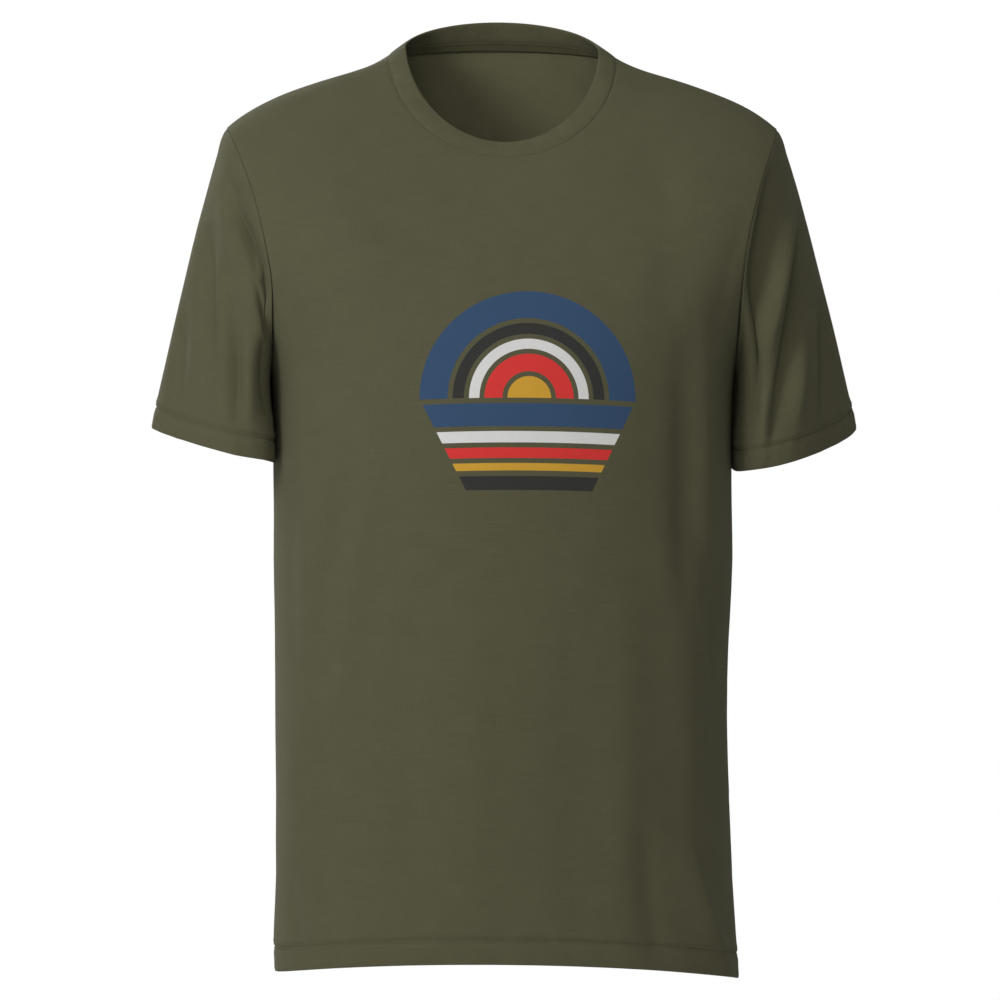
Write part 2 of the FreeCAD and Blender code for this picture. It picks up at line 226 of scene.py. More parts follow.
def circle(a, b, c):
    """Centre (x, z) and radius of the circle through three points seen from the front."""
    m = 2 * np.array([[b[0] - a[0], b[2] - a[2]], [c[0] - a[0], c[2] - a[2]]])
    squares = [p[0] ** 2 + p[2] ** 2 for p in (a, b, c)]
    centre = np.linalg.solve(m, [squares[1] - squares[0], squares[2] - squares[0]])
    return centre, math.hypot(a[0] - centre[0], a[2] - centre[1])


ARC_CENTRE, ARC_RADIUS = circle(TIP, (TIP + ARMPIT) / 2 - (ARMHOLE_BOW, 0, 0), ARMPIT)


def past_armhole(points):
    """How far points lie outside the armhole seam on the wearer's left."""
    rise = np.clip(points[..., 2] - ARC_CENTRE[1], -ARC_RADIUS, ARC_RADIUS)
    return points[..., 0] - (ARC_CENTRE[0] - np.sqrt(ARC_RADIUS ** 2 - rise ** 2))


def edge_place(facing, v):
    """Where the panel's edge lies round each level: 0 at the side line, more at the armhole."""
    low, high = np.zeros_like(v), np.full_like(v, 0.5)
    in_armhole = (v > UNDERARM_PLACE) & (v < TIP_PLACE)
    for _ in range(40):
        middle = (low + high) / 2
        outside = past_armhole(body(facing, middle, v)) > 0
        low, high = np.where(outside, middle, low), np.where(outside, high, middle)
    return np.where(in_armhole, low, 0.0)


# Folds, as lines going down in the front view, in millimetres: (points (x, z), width towards the
# wearer's right, width towards the left, height, sharpness). Below zero is a valley, and a sharpness
# of 1 is a crease.

FRONT_FOLDS = [
    # down the wearer's left, beside the sleeve
    ([(138, -225), (139, -330), (136, -450)], 10, 9, -4.2, 1.8),
    ([(156, -200), (157, -320), (156, -480)], 8, 10, 3.6, 2),
    ([(150, -378), (164, -440), (170, -500), (171, -590)], 7, 12, -6.5, 1.7),
    ([(120, -360), (140, -450), (147, -560), (144, -660)], 16, 10, 3, 2),
    # by the hem on the wearer's left
    ([(144, -630), (158, -688), (174, -740)], 14, 6, 7, 1.8),
    ([(104, -600), (110, -670), (116, -738)], 12, 10, -2.6, 2),
    # down the middle
    ([(-80, -400), (-84, -520), (-78, -730)], 18, 18, -2, 2),
    ([(-30, -430), (-26, -560), (-34, -735)], 22, 18, 1.6, 2),
    ([(46, -460), (52, -600), (48, -735)], 18, 18, -1.6, 2),
    ([(88, -420), (92, -560), (90, -735)], 16, 16, 1.8, 2),
    # down the wearer's right
    ([(-128, -330), (-146, -420), (-162, -520)], 10, 14, -5.5, 1.8),
    ([(-112, -340), (-128, -430), (-142, -540)], 10, 12, 3.6, 2),
    ([(-150, -520), (-152, -620), (-148, -735)], 10, 12, -3.6, 2),
    ([(-172, -300), (-174, -400), (-172, -520)], 8, 9, -4, 1.8),
    ([(-176, -640), (-170, -690), (-164, -736)], 7, 8, -4, 1.7),
    # from the armholes
    ([(-190, -160), (-170, -205), (-150, -270)], 8, 12, -3.4, 1.8),
    ([(192, -120), (176, -170), (160, -240)], 10, 8, -1.6, 1.7),
    ([(-150, -100), (-115, -150), (-95, -210)], 20, 20, 2.2, 2),
    ([(150, -100), (118, -150), (98, -210)], 20, 20, 2.6, 2),
    ([(120, -60), (126, -120), (120, -220)], 20, 16, -3, 2),
]
BACK_FOLDS = [
    ([(-70, -150), (-76, -330), (-66, -520)], 18, 14, -5, 1.9),
    ([(64, -140), (72, -320), (74, -540)], 14, 18, -5, 1.9),
    ([(-6, -240), (2, -420), (-6, -640)], 22, 22, 3.6, 2),
    ([(-100, -200), (-106, -340), (-100, -500)], 12, 12, 3.4, 2),
    ([(102, -200), (106, -340), (102, -500)], 12, 12, 3.4, 2),
    ([(-135, -200), (-140, -330), (-130, -470)], 8, 12, -6, 1.6),
    ([(135, -200), (142, -340), (134, -480)], 12, 8, -6, 1.6),
    ([(-118, -440), (-114, -580), (-120, -735)], 15, 15, 4.2, 2),
    ([(110, -430), (114, -580), (108, -735)], 15, 15, 4.2, 2),
    ([(-80, -540), (-82, -630), (-78, -738)], 12, 12, -4, 1.8),
    ([(-40, -520), (-42, -620), (-36, -738)], 14, 14, 3, 2),
    ([(36, -540), (40, -640), (44, -738)], 14, 14, -4, 1.8),
    ([(74, -560), (78, -650), (80, -738)], 12, 12, 3, 2),
    ([(-172, -100), (-145, -160), (-130, -235)], 10, 12, 4, 1.8),
    ([(172, -100), (147, -165), (132, -240)], 12, 10, 4, 1.8),
    ([(-150, -90), (-122, -150), (-110, -215)], 10, 12, -3.6, 1.8),
    ([(150, -90), (124, -150), (112, -220)], 12, 10, -3.6, 1.8),
]
SLEEVE_FOLDS = {
    ("right", FRONT): [
        # crisp drags from the top of the sleeve to the armhole
        ([(-219, -96), (-215, -124), (-206, -150), (-195, -172), (-189, -196), (-185, -222)], 2.6, 8.5, -8.5, 1.3),
        ([(-216, -126), (-206, -156), (-197, -179)], 2.4, 5, -6, 1.3),
        ([(-201, -178), (-193, -206), (-186, -230)], 2.4, 6, -6, 1.3),
        ([(-225, -116), (-219, -150), (-210, -180)], 6, 4, 4, 1.8),
        ([(-236, -130), (-235, -190), (-233, -250)], 8, 7, -7, 1.7),
        ([(-227, -150), (-225, -200), (-224, -255)], 7, 7, 5, 2),
        ([(-216, -208), (-215, -250), (-213, -300)], 6, 7, -8, 1.6),
        ([(-204, -220), (-204, -260), (-203, -295)], 6, 6, 4, 2),
        ([(-192, -225), (-190.4, -258), (-188, -290)], 5, 6, -6, 1.6),
        ([(-256, -190), (-259, -235), (-262, -285)], 8, 8, -4, 2),
        ([(-248, -220), (-249, -255), (-250, -295)], 6, 6, 3, 2),
    ],
    ("left", FRONT): [
        ([(213, -78), (206, -130), (199, -185), (196, -235), (194, -305)], 8, 12, -15, 1.6),
        ([(229.6, -125), (219, -175), (208, -240)], 7, 6, 9, 2),
        ([(237, -130), (231, -190), (223, -240), (209, -315)], 4, 10, -11, 1.5),
        ([(238, -208), (235, -256), (231, -300)], 7, 6, 7, 2),
        ([(257, -190), (256, -236), (256, -295)], 6, 8, -7, 1.6),
        ([(248, -200), (248, -240), (247, -290)], 5, 5, 4, 2),
        ([(205, -265), (204, -290), (204, -315)], 4, 5, 3.5, 2),
    ],
    ("right", BACK): [
        ([(-212, -120), (-204, -180), (-196, -250)], 6, 9, -5, 1.6),
        ([(-228, -130), (-226, -190), (-220, -265)], 9, 9, 3.8, 2),
        ([(-244, -150), (-246, -210), (-244, -285)], 9, 7, -3.4, 1.7),
    ],
    ("left", BACK): [
        ([(210, -115), (202, -185), (197, -260)], 9, 6, -5, 1.6),
        ([(226, -125), (222, -195), (214, -270)], 9, 9, 4, 2),
        ([(243, -150), (245, -215), (243, -290)], 7, 9, -3.4, 1.7),
    ],
}


def fold_heights(points, folds):
    """How far the folds push points out; each fold fades towards its ends."""
    seen = points[..., [0, 2]]
    height = np.zeros(seen.shape[:-1])
    for line, west, east, depth, sharpness in folds:
        line, west, east, depth = np.array(line) / 1000, west / 1000, east / 1000, depth / 1000
        lengths = np.linalg.norm(np.diff(line, axis=0), axis=1)
        starts = np.concatenate([[0], np.cumsum(lengths)])
        nearest = np.full(height.shape, np.inf)
        reach_here = np.full(height.shape, west)
        along = np.zeros(height.shape)
        for start, end, reach, before in zip(line, line[1:], lengths, starts):
            step = (end - start) / reach
            share = np.clip((seen - start) @ step, 0, reach)
            away = np.linalg.norm(seen - start - share[..., None] * step, axis=-1)
            along = np.where(away < nearest, (before + share) / starts[-1], along)
            is_east = step[0] * (seen - start)[..., 1] - step[1] * (seen - start)[..., 0] > 0
            reach_here = np.where(away < nearest, np.where(is_east, east, west), reach_here)
            nearest = np.minimum(nearest, away)
        fade = np.sin(math.pi * np.clip(along, 0.02, 0.98)) ** 0.7
        height += depth * fade * np.exp(-(nearest / reach_here) ** sharpness)
    return height


def ripple(points, size, stretch=(1, 1, 1), seed=0):
    """Soft noise between -1 and 1 over points."""
    flat = points.reshape(-1, 3) * np.array(stretch) / size + seed
    values = [noise.noise(Vector(p)) for p in flat]
    return np.array(values).reshape(points.shape[:-1])


def unit(vectors):
    return vectors / np.linalg.norm(vectors, axis=-1, keepdims=True)


def normals(points, inside):
    """Unit normals of a grid of points that face away from inside, from the quads round each point."""
    quads = np.cross(points[1:, 1:] - points[:-1, :-1], points[1:, :-1] - points[:-1, 1:])
    n = np.zeros_like(points)
    for rows in (slice(1, None), slice(None, -1)):
        for columns in (slice(1, None), slice(None, -1)):
            n[rows, columns] += quads
    n /= np.maximum(np.linalg.norm(n, axis=-1, keepdims=True), 1e-15)
    return n * np.sign(np.sum(n * (points - inside)))


def lengths_along(points, axis):
    """Distances run along a grid in one direction."""
    steps = np.linalg.norm(np.diff(points, axis=axis), axis=-1)
    zero = np.zeros_like(np.take(steps, [0], axis=axis))
    return np.concatenate([zero, np.cumsum(steps, axis=axis)], axis=axis)


def at_lengths(wanted, along, line):
    """Points of a line at the wanted lengths; along holds the length at each of its points."""
    return np.stack([np.interp(wanted, along, line[:, k]) for k in range(3)], -1)


def stops(total, fine_start, fine_end, cell=CELL):
    """Distances from 0 to total: given fine ones from each end, even cells between."""
    start = [d for d in fine_start if d < total / 2]
    end = [total - d for d in fine_end[::-1] if d < total / 2]
    count = max(1, round((end[0] - start[-1]) / cell))
    return np.array(start + list(np.linspace(start[-1], end[0], count + 1)[1:-1]) + end)


EDGE_STOPS = [0, 0.0007, 0.0015, 0.0026, 0.0042, 0.0066]
TIP_STOPS = [0, 0.001, 0.0022, 0.004]
HEM_STOPS = [0, 0.0008, 0.0022, 0.005, 0.009, 0.013, 0.0158, 0.0174, 0.0182, 0.0190, 0.0200,
             0.0210, 0.0218, 0.0226, 0.0244, 0.0275, 0.031]


def edge_roll(distance, depth, width=0.0016):
    """How far cloth turns in towards a seam at its edge."""
    return depth * np.exp(-(distance / width) ** 2)


# By kind of hem: its width, (height, place above the width, reach) of the dents and swellings along
# the twin needle lines, and the puckers' height, size, upper end and fade
HEMS = {
    "body": (HEM_WIDTH, [(-0.0006, -0.0004, 0.0022), (0.0005, 0.0044, 0.0026), (0.0003, -0.0062, 0.0035)],
             (0.0007, 0.011, 0.018, 0.016)),
    "sleeve": (SLEEVE_HEM_WIDTH, [(-0.0007, -0.0004, 0.0022), (0.0007, 0.0042, 0.0024), (0.0003, -0.0060, 0.0035)],
               (0.0009, 0.010, 0.016, 0.014)),
}


def hem_relief(kind, points, up, seed):
    """How far a hem's stitches, puckers and fold push the cloth out; up is the height above the hem."""
    width, ridges, (pucker, size, end, fade) = HEMS[kind]
    shift = pucker * ripple(points, size, (1, 1, 0.3), seed + 5) * (1 - smooth((up - end) / fade))
    for height, place, reach in ridges:
        shift += height * np.exp(-((up - width - place) / reach) ** 2)
    return shift - edge_roll(up, 0.0005, 0.0012)


def edge_round(facing, places, corner):
    """Where the panel's edge lies round the body; corner runs from 1 to 0 across the shoulder's tip."""
    return corner * edge_place(facing, np.minimum(places, TIP_PLACE - 1e-6)) * (places <= TIP_PLACE)


def smooth(value):
    value = np.clip(value, 0, 1)
    return value ** 2 * (3 - 2 * value)


# Samples of an edge below the shoulder's tip, across it and above
BELOW_TIP, AT_TIP, ABOVE_TIP = SAMPLES, 40, 2001


def edge_lines():
    """Both panels' edges: places up the body, shares of the corner at the tip and lengths run."""
    places = np.concatenate([np.linspace(0, TIP_PLACE, BELOW_TIP), np.full(AT_TIP, TIP_PLACE),
                             np.linspace(TIP_PLACE, TOP, ABOVE_TIP)])
    corner = np.concatenate([np.ones(BELOW_TIP), np.linspace(1, 0, AT_TIP), np.zeros(ABOVE_TIP)])
    lengths = {facing: lengths_along(body(facing, edge_round(facing, places, corner), places), 0)
               for facing in (FRONT, BACK)}
    return places, corner, lengths


def edge_rows():
    """Rows up each panel's edge, even along it; the panels share them below the arm and over the shoulder."""
    places, corner, lengths = edge_lines()
    marks = {facing: (np.interp(UNDERARM_PLACE, places[:BELOW_TIP], along[:BELOW_TIP]),
                      along[BELOW_TIP + AT_TIP - 1], along[-1]) for facing, along in lengths.items()}
    underarm, tip, top = marks[FRONT]
    below = stops(underarm, HEM_STOPS, [0])
    above = stops(top - tip, TIP_STOPS, EDGE_STOPS)
    armhole = max(tip - underarm for underarm, tip, top in marks.values())
    beside = stops(armhole, [0], TIP_STOPS) / armhole
    rows, corners = {}, {}
    for facing, (underarm, tip, top) in marks.items():
        distances = np.concatenate([below, underarm + beside[1:] * (tip - underarm), tip + above[1:]])
        rows[facing] = np.interp(distances, lengths[facing], places)
        corners[facing] = np.interp(distances, lengths[facing], corner)
    return rows, corners, len(below) - 1, len(below) + len(beside) - 2


V, CORNER, UNDERARM_ROW, TIP_ROW = edge_rows()
ROWS = len(V[FRONT])
# how far the rows rise from the shoulder's tip to the middle line, in places up the body
TIP_RISE = 0.6


def middle_rows(facing):
    """Places of the same rows up the middle line: as fine at hem and collar seam, even between."""
    dense = np.linspace(0, TOP, SAMPLES)
    along = lengths_along(body(facing, np.full_like(dense, 0.5), dense), 0)
    # rows keep to their level where the armhole is cut in deepest, so that none leaves the panel
    deepest = int(np.argmax(edge_round(facing, V[facing], CORNER[facing])))
    at_deepest, at_tip = np.interp([V[facing][deepest], TIP_PLACE + TIP_RISE], dense, along)
    rows = np.arange(ROWS)
    distances = np.interp(rows, [len(HEM_STOPS) - 1, deepest, TIP_ROW, ROWS - len(EDGE_STOPS)],
                          [HEM_STOPS[-1], at_deepest, at_tip, along[-1] - EDGE_STOPS[-1]])
    distances[:len(HEM_STOPS)] = HEM_STOPS
    distances[-len(EDGE_STOPS):] = along[-1] - np.array(EDGE_STOPS[::-1])
    return np.interp(distances, along, dense)


# Cells up and round a panel for its lengths on the cloth
UP_CELLS, ROUND_CELLS = 1200, 200


def on_cloth(facing, u, v):
    """Lengths on the smooth body: across from the middle line, up from the hem, and on to the collar seam."""
    net = body(facing, np.linspace(0, 1, ROUND_CELLS + 1)[None, :], np.linspace(0, TOP, UP_CELLS + 1)[:, None])
    up, across = lengths_along(net, 0), lengths_along(net, 1)
    across = across - across[:, ROUND_CELLS // 2][:, None]
    row, column = v / TOP * UP_CELLS, u * ROUND_CELLS
    low, left = np.minimum(row.astype(int), UP_CELLS - 1), np.minimum(column.astype(int), ROUND_CELLS - 1)
    row, column = row - low, column - left

    def at(table):
        under, over = (table[level, left] * (1 - column) + table[level, left + 1] * column
                       for level in (low, low + 1))
        return under * (1 - row) + over * row
    return at(across), at(up), at(up[-1:] - up)


# Step over which the body's slope is measured
STEP = 1e-4


def body_normals(facing, u, v):
    """Unit normals of the smooth body, facing out."""
    u, v = np.clip(u, STEP, 1 - STEP), np.clip(v, STEP, TOP - STEP)
    across = body(facing, u + STEP, v) - body(facing, u - STEP, v)
    up = body(facing, u, v + STEP) - body(facing, u, v - STEP)
    return unit(np.cross(across, up) * facing)


# Share of the way from the edge to the middle line over which rows rise
RISE_SHARE = 0.6


def panel_grid(facing):
    """Places round and up the smooth body of the panel's points."""
    edge = edge_round(facing, V[facing], CORNER[facing])[:, None]
    dense = np.linspace(0, 1, 401)[None, :]
    inwards = np.minimum((1 - np.abs(2 * dense - 1)) / RISE_SHARE, 1)
    u = edge + (1 - 2 * edge) * dense
    v = V[facing][:, None] + (middle_rows(facing) - V[facing])[:, None] * (1 - (1 - inwards) ** 2)
    along = lengths_along(body(facing, u, v), 1)
    columns = stops(np.median(along[:, -1]), EDGE_STOPS, EDGE_STOPS)
    near = len(EDGE_STOPS)
    share = np.interp(columns, [columns[near - 1], columns[-near]], [0, 1])
    picked = []
    for lengths, round_row, up_row in zip(along, u, v):
        # edge columns keep their distance from the edge, the others share what is left
        wanted = EDGE_STOPS[-1] + share * (lengths[-1] - 2 * EDGE_STOPS[-1])
        wanted[:near] = columns[:near]
        wanted[-near:] = lengths[-1] - columns[:near][::-1]
        picked.append([np.interp(wanted, lengths, round_row), np.interp(wanted, lengths, up_row)])
    picked = np.array(picked)
    return picked[:, 0], picked[:, 1]


# The jersey's unevenness: (height, size, stretch upright, seed)
BODY_RIPPLES = [(0.0011, 0.085, 0.38, 0), (0.00035, 0.026, 0.6, 9)]
SLEEVE_RIPPLES = [(0.0008, 0.05, 0.5, 0)]
# How far from the collar and armhole seams the cloth lies calm, and how deep it rolls in at the seams
NECK_CALM, ARMHOLE_CALM = 0.03, 0.009
ARMHOLE_ROLL, SIDE_ROLL, NECK_ROLL = 0.0006, 0.0004, 0.0006


def ripples(points, kinds, seed):
    return sum(height * ripple(points, size, (1, 1, upright), seed + more) for height, size, upright, more in kinds)


def panel(facing, folds, seed):
    """The front or back as a grid of points, with its flat-cloth coordinates and height above the hem."""
    u, v = panel_grid(facing)
    points = body(facing, u, v)
    out = body_normals(facing, u, v)
    to_edge = np.minimum(lengths_along(points, 1), lengths_along(points[:, ::-1], 1)[:, ::-1])
    across, up, to_neck = on_cloth(facing, u, v)
    shift = (fold_heights(points, folds) + ripples(points, BODY_RIPPLES, seed)) * smooth(to_neck / NECK_CALM)
    row = np.arange(ROWS)[:, None]
    in_armhole = (row >= UNDERARM_ROW) & (row <= TIP_ROW)
    shift -= edge_roll(to_edge, np.where(in_armhole, ARMHOLE_ROLL, SIDE_ROLL)) + edge_roll(to_neck, NECK_ROLL)
    shift += hem_relief("body", points, up, seed)
    return {"points": hung(points + out * shift[..., None]), "flat": np.stack([across, up], -1), "up": up}


# How the worn shirt hangs off its even cut: heights, and how far it moves sideways there on the
# wearer's right and left
HANG_HEIGHTS = [-0.736, -0.704, -0.656, -0.592, -0.528, -0.464, -0.400, -0.340]
HANG_RIGHT = [0.0022, 0.0016, 0.0032, 0.0032, 0.0024, 0.0016, 0.0, 0.0]
HANG_LEFT = [0.0058, 0.0036, 0.0, -0.0024, -0.0024, -0.0014, 0.0006, 0.0]
# how far the hem rises on the right, from what height on down
HEM_RISE, RISE_START, RISE_RUN = 0.0065, -0.35, 0.386


def hung(points):
    """Lets the body hang to the wearer's left and lifts the hem on the right."""
    x, z = points[..., 0], points[..., 2]
    right, left = np.interp(z, HANG_HEIGHTS, HANG_RIGHT), np.interp(z, HANG_HEIGHTS, HANG_LEFT)
    share = np.clip(0.5 + 0.5 * x / CHEST_HALF, 0, 1)
    low = np.clip((RISE_START - z) / RISE_RUN, 0, 1) ** 2
    return points + np.stack([right + (left - right) * share, 0 * x, low * HEM_RISE * (1 - share)], -1)


# How far from the shared edge the panels bend to meet
SIDE_BLEND = 0.02


def join_sides(front, back):
    """Both panels share their edge below the underarm and over the shoulder; sets their normals too."""
    row = np.arange(ROWS)
    shared = ((row <= UNDERARM_ROW) | (row >= TIP_ROW))[:, None]
    for order in (slice(None), slice(None, None, -1)):
        sides = [(grid["points"][:, order], facing) for grid, facing in ((front, FRONT), (back, BACK))]
        middle = (sides[0][0][:, 0] + sides[1][0][:, 0]) / 2
        for points, facing in sides:
            missing = shared * (middle + (0, facing * SEAM_GAP / 4, 0) - points[:, 0])
            points += missing[:, None] * (1 - smooth(lengths_along(points, 1) / SIDE_BLEND))[..., None]
    for grid in (front, back):
        grid["normals"] = normals(grid["points"], grid["points"] * INSIDE)


# Mesh building

def add_mesh(name, vertices, faces, uvs):
    """A smooth mesh object; uvs holds one flat-cloth coordinate for each vertex."""
    mesh = bpy.data.meshes.new(name)
    mesh.vertices.add(len(vertices))
    mesh.vertices.foreach_set("co", np.asarray(vertices, np.float32).ravel())
    faces = np.asarray(faces, np.int32)
    mesh.loops.add(faces.size)
    mesh.loops.foreach_set("vertex_index", faces.ravel())
    mesh.polygons.add(len(faces))
    mesh.polygons.foreach_set("loop_start", np.arange(0, faces.size, faces.shape[1], dtype=np.int32))
    mesh.update(calc_edges=True)
    mesh.validate()
    layer = mesh.uv_layers.new(name="flat")
    layer.data.foreach_set("uv", np.asarray(uvs, np.float32)[faces.ravel()].ravel())
    mesh.shade_smooth()
    piece = bpy.data.objects.new(name, mesh)
    bpy.context.collection.objects.link(piece)
    return piece


def grid_faces(rows, columns, first=0, wrap=False, flipped=False):
    """Quads of a grid of vertices that starts at index first."""
    index = first + np.arange(rows * columns).reshape(rows, columns)
    if wrap:
        index = np.concatenate([index, index[:, :1]], axis=1)
    quads = np.stack([index[:-1, :-1], index[:-1, 1:], index[1:, 1:], index[1:, :-1]], -1).reshape(-1, 4)
    return quads[:, ::-1] if flipped else quads


def sheet_mesh(name, points, out, flat, thickness, wrap=False):
    """A sheet from its outer points, with an inner side and rims; wrap closes it round."""
    rows, columns = points.shape[:2]
    count = rows * columns
    inner = points - out * thickness
    vertices = np.concatenate([points.reshape(-1, 3), inner.reshape(-1, 3)])
    outwards = np.sum(np.cross(points[0, 1] - points[0, 0], points[1, 0] - points[0, 0]) * out[0, 0]) > 0
    faces = [grid_faces(rows, columns, 0, wrap, not outwards),
             grid_faces(rows, columns, count, wrap, outwards)]
    index = np.arange(count).reshape(rows, columns)
    rims = [(index[0], outwards), (index[-1], not outwards)]
    if not wrap:
        rims += [(index[:, 0], not outwards), (index[:, -1], outwards)]
    for line, turned in rims:
        if wrap:
            line = np.append(line, line[0])
        quads = np.stack([line[:-1], line[1:], line[1:] + count, line[:-1] + count], -1)
        faces.append(quads if not turned else quads[:, ::-1])
    uvs = np.concatenate([flat.reshape(-1, 2)] * 2)
    piece = add_mesh(name, vertices, np.concatenate(faces), uvs)
    inside = piece.data.attributes.new("inside", "FLOAT", "POINT")
    inside.data.foreach_set("value", np.repeat([0.0, 1.0], count).astype(np.float32))
    return piece


STITCH_LENGTH, STITCH_SPACE, STITCH_RADIUS = 0.0026, 0.0007, 0.00028
STITCH_SIDES = 6
# shares of a stitch's length and how thick it is there
STITCH_PLACES = np.array([0, 0.08, 0.35, 0.65, 0.92, 1.0])
STITCH_BULGE = [0.15, 0.8, 1.0, 1.0, 0.8, 0.15]


def stitch_mesh(name, lines):
    """Rows of stitches; each line is (points, normals) of a closed ring."""
    vertices, faces, uvs = [], [], []
    for points, out in lines:
        points, out = np.concatenate([points, points[:1]]), np.concatenate([out, out[:1]])
        along = lengths_along(points, 0)
        count = int(along[-1] / (STITCH_LENGTH + STITCH_SPACE))
        pitch = along[-1] / count
        for k in range(count):
            at = (k + 0.5) * pitch + (STITCH_PLACES - 0.5) * STITCH_LENGTH
            centre, up = at_lengths(at, along, points), unit(at_lengths(at, along, out))
            across = unit(np.cross(up, centre[-1] - centre[0]))
            faces.append(grid_faces(len(at), STITCH_SIDES, len(vertices), wrap=True, flipped=True))
            for c, n, a, bulge, place in zip(centre, up, across, STITCH_BULGE, STITCH_PLACES):
                radius = STITCH_RADIUS * bulge
                lift = 0.9 * radius - 0.25 * STITCH_RADIUS
                for s in range(STITCH_SIDES):
                    turn = 2 * math.pi * s / STITCH_SIDES
                    vertices.append(c + n * (lift + radius * math.cos(turn)) + a * radius * math.sin(turn))
                    uvs.append((k * pitch + place * STITCH_LENGTH, s / STITCH_SIDES * 0.001))
    return add_mesh(name, vertices, np.concatenate(faces), uvs)


# Materials

def srgb(red, green, blue):
    """A colour as it is seen on a screen, 0 to 255, as linear light."""
    def linear(value):
        value /= 255
        return value / 12.92 if value <= 0.04045 else ((value + 0.055) / 1.055) ** 2.4
    return (linear(red), linear(green), linear(blue), 1)


OLIVE = (89, 87.5, 65.5)
# how much paler the inner side is drawn: a little for the purl side's fuzz, mostly painted light where light comes
# in through the neck
INNER_FUZZ_AND_PAINTED_LIGHT = 1.6
# the knit's pitch across and up
WALE, COURSE = 0.00072, 0.00056


class Nodes:
    """Short calls for the nodes of a material or world."""

    def __init__(self, owner):
        owner.use_nodes = True
        self.owner, self.tree = owner, owner.node_tree
        self.shader = self.tree.nodes.get("Principled BSDF")

    def add(self, kind, inputs=None, **settings):
        node = self.tree.nodes.new("ShaderNode" + kind)
        for key, value in settings.items():
            setattr(node, key, value)
        for key, value in (inputs or {}).items():
            self.set(node, key, value)
        return node

    def set(self, node, key, value):
        if isinstance(value, bpy.types.NodeSocket):
            self.tree.links.new(value, node.inputs[key])
        else:
            node.inputs[key].default_value = value

    def math(self, operation, first, second=0.0, third=0.0):
        return self.add("Math", {0: first, 1: second, 2: third}, operation=operation).outputs[0]

    def times(self, first, second, plus=0.0):
        return self.math("MULTIPLY_ADD", first, second, plus)

    def flat(self):
        """The cloth's own coordinates in metres, across and up."""
        split = self.add("SeparateXYZ", {0: self.add("UVMap", uv_map="flat").outputs[0]}).outputs
        return split[0], split[1]

    def wave(self, value, pitch):
        """A sine of the given pitch in metres."""
        return self.math("SINE", self.times(value, 2 * math.pi / pitch))

    def place(self):
        return self.add("TexCoord").outputs["Object"]

    def noise(self, scale, detail=3.0, vector=None):
        inputs = {"Vector": vector or self.place(), "Scale": scale, "Detail": detail}
        return self.add("TexNoise", inputs).outputs["Fac"]

    def ranged(self, value, **limits):
        """A value moved from one range to another."""
        inputs = {name.replace("_", " ").title(): limit for name, limit in limits.items()}
        return self.add("MapRange", {"Value": value, **inputs}).outputs[0]

    def bump(self, height, distance, strength, below=None):
        inputs = {"Height": height, "Distance": distance, "Strength": strength}
        if below is not None:
            inputs["Normal"] = below
        return self.add("Bump", inputs).outputs[0]

    def scaled(self, colour, share):
        return self.add("VectorMath", {0: colour, "Scale": share}, operation="SCALE").outputs[0]

    def tone(self, colour, value, low, high):
        """The colour made darker or lighter by a value from 0 to 1."""
        return self.scaled(srgb(*colour)[:3], self.ranged(value, to_min=low, to_max=high))

    def finish(self, colour, normal, roughness=0.92, sheen=0.04):
        for key, value in {"Base Color": colour, "Normal": normal, "Roughness": roughness,
                           "Specular IOR Level": 0.12, "Sheen Weight": sheen, "Sheen Roughness": 0.6,
                           "Sheen Tint": (0.8, 0.8, 0.7, 1)}.items():
            self.set(self.shader, key, value)
        return self.owner


def knit_height(nodes):
    """Height of plain jersey: columns of small v-shaped stitches."""
    across, up = nodes.flat()
    # each stitch leans out from the middle of its column
    lean = nodes.math("ABSOLUTE", nodes.wave(across, 2 * WALE))
    stitch = nodes.wave(nodes.times(lean, COURSE * 0.9, up), COURSE)
    return nodes.times(stitch, 0.55, nodes.times(nodes.wave(across, WALE), 0.6))


def jersey(nodes, colour=OLIVE, print_centre=None):
    """Cotton jersey: knit, faint yarn streaks and a mottled dye, with faint painted shade in the knit's hollows;
    paler on its inner side, partly the purl side's fuzz and mostly painted light.
    """
    place = nodes.place()
    across, up = nodes.flat()
    yarn = nodes.noise(60.0, 2.0, nodes.add("CombineXYZ", {0: nodes.times(across, 26.0), 1: up}).outputs[0])
    band = nodes.noise(34.0, 3.0, nodes.add("CombineXYZ", {0: across, 1: nodes.times(up, 30.0)}).outputs[0])
    shade = nodes.times(nodes.noise(55.0, 4.0, place), 0.20)
    knit = knit_height(nodes)
    # yarn streaks, bands and fuzz are the dye's own; the knit's height added here is painted shade in its hollows
    for value, share in ((yarn, 0.25), (band, 0.35), (nodes.noise(2600.0, 2.0, place), 0.20), (knit, 0.035)):
        shade = nodes.times(value, share, shade)
    low = nodes.bump(nodes.noise(420.0, 3.0, place), 0.0002, 0.25)
    inside = nodes.add("Attribute", attribute_name="inside").outputs["Fac"]
    # the inner side is painted paler: partly the purl side's fuzz, mostly painted light coming in through the neck
    cloth = nodes.scaled(nodes.tone(colour, shade, 0.64, 1.36), nodes.times(inside, INNER_FUZZ_AND_PAINTED_LIGHT - 1, 1.0))
    if print_centre is not None:
        cloth = printed(nodes, cloth, print_centre, nodes.math("SUBTRACT", 1.0, inside))
    return nodes.finish(cloth, nodes.bump(knit, 0.00012, 0.55, low), 0.95)


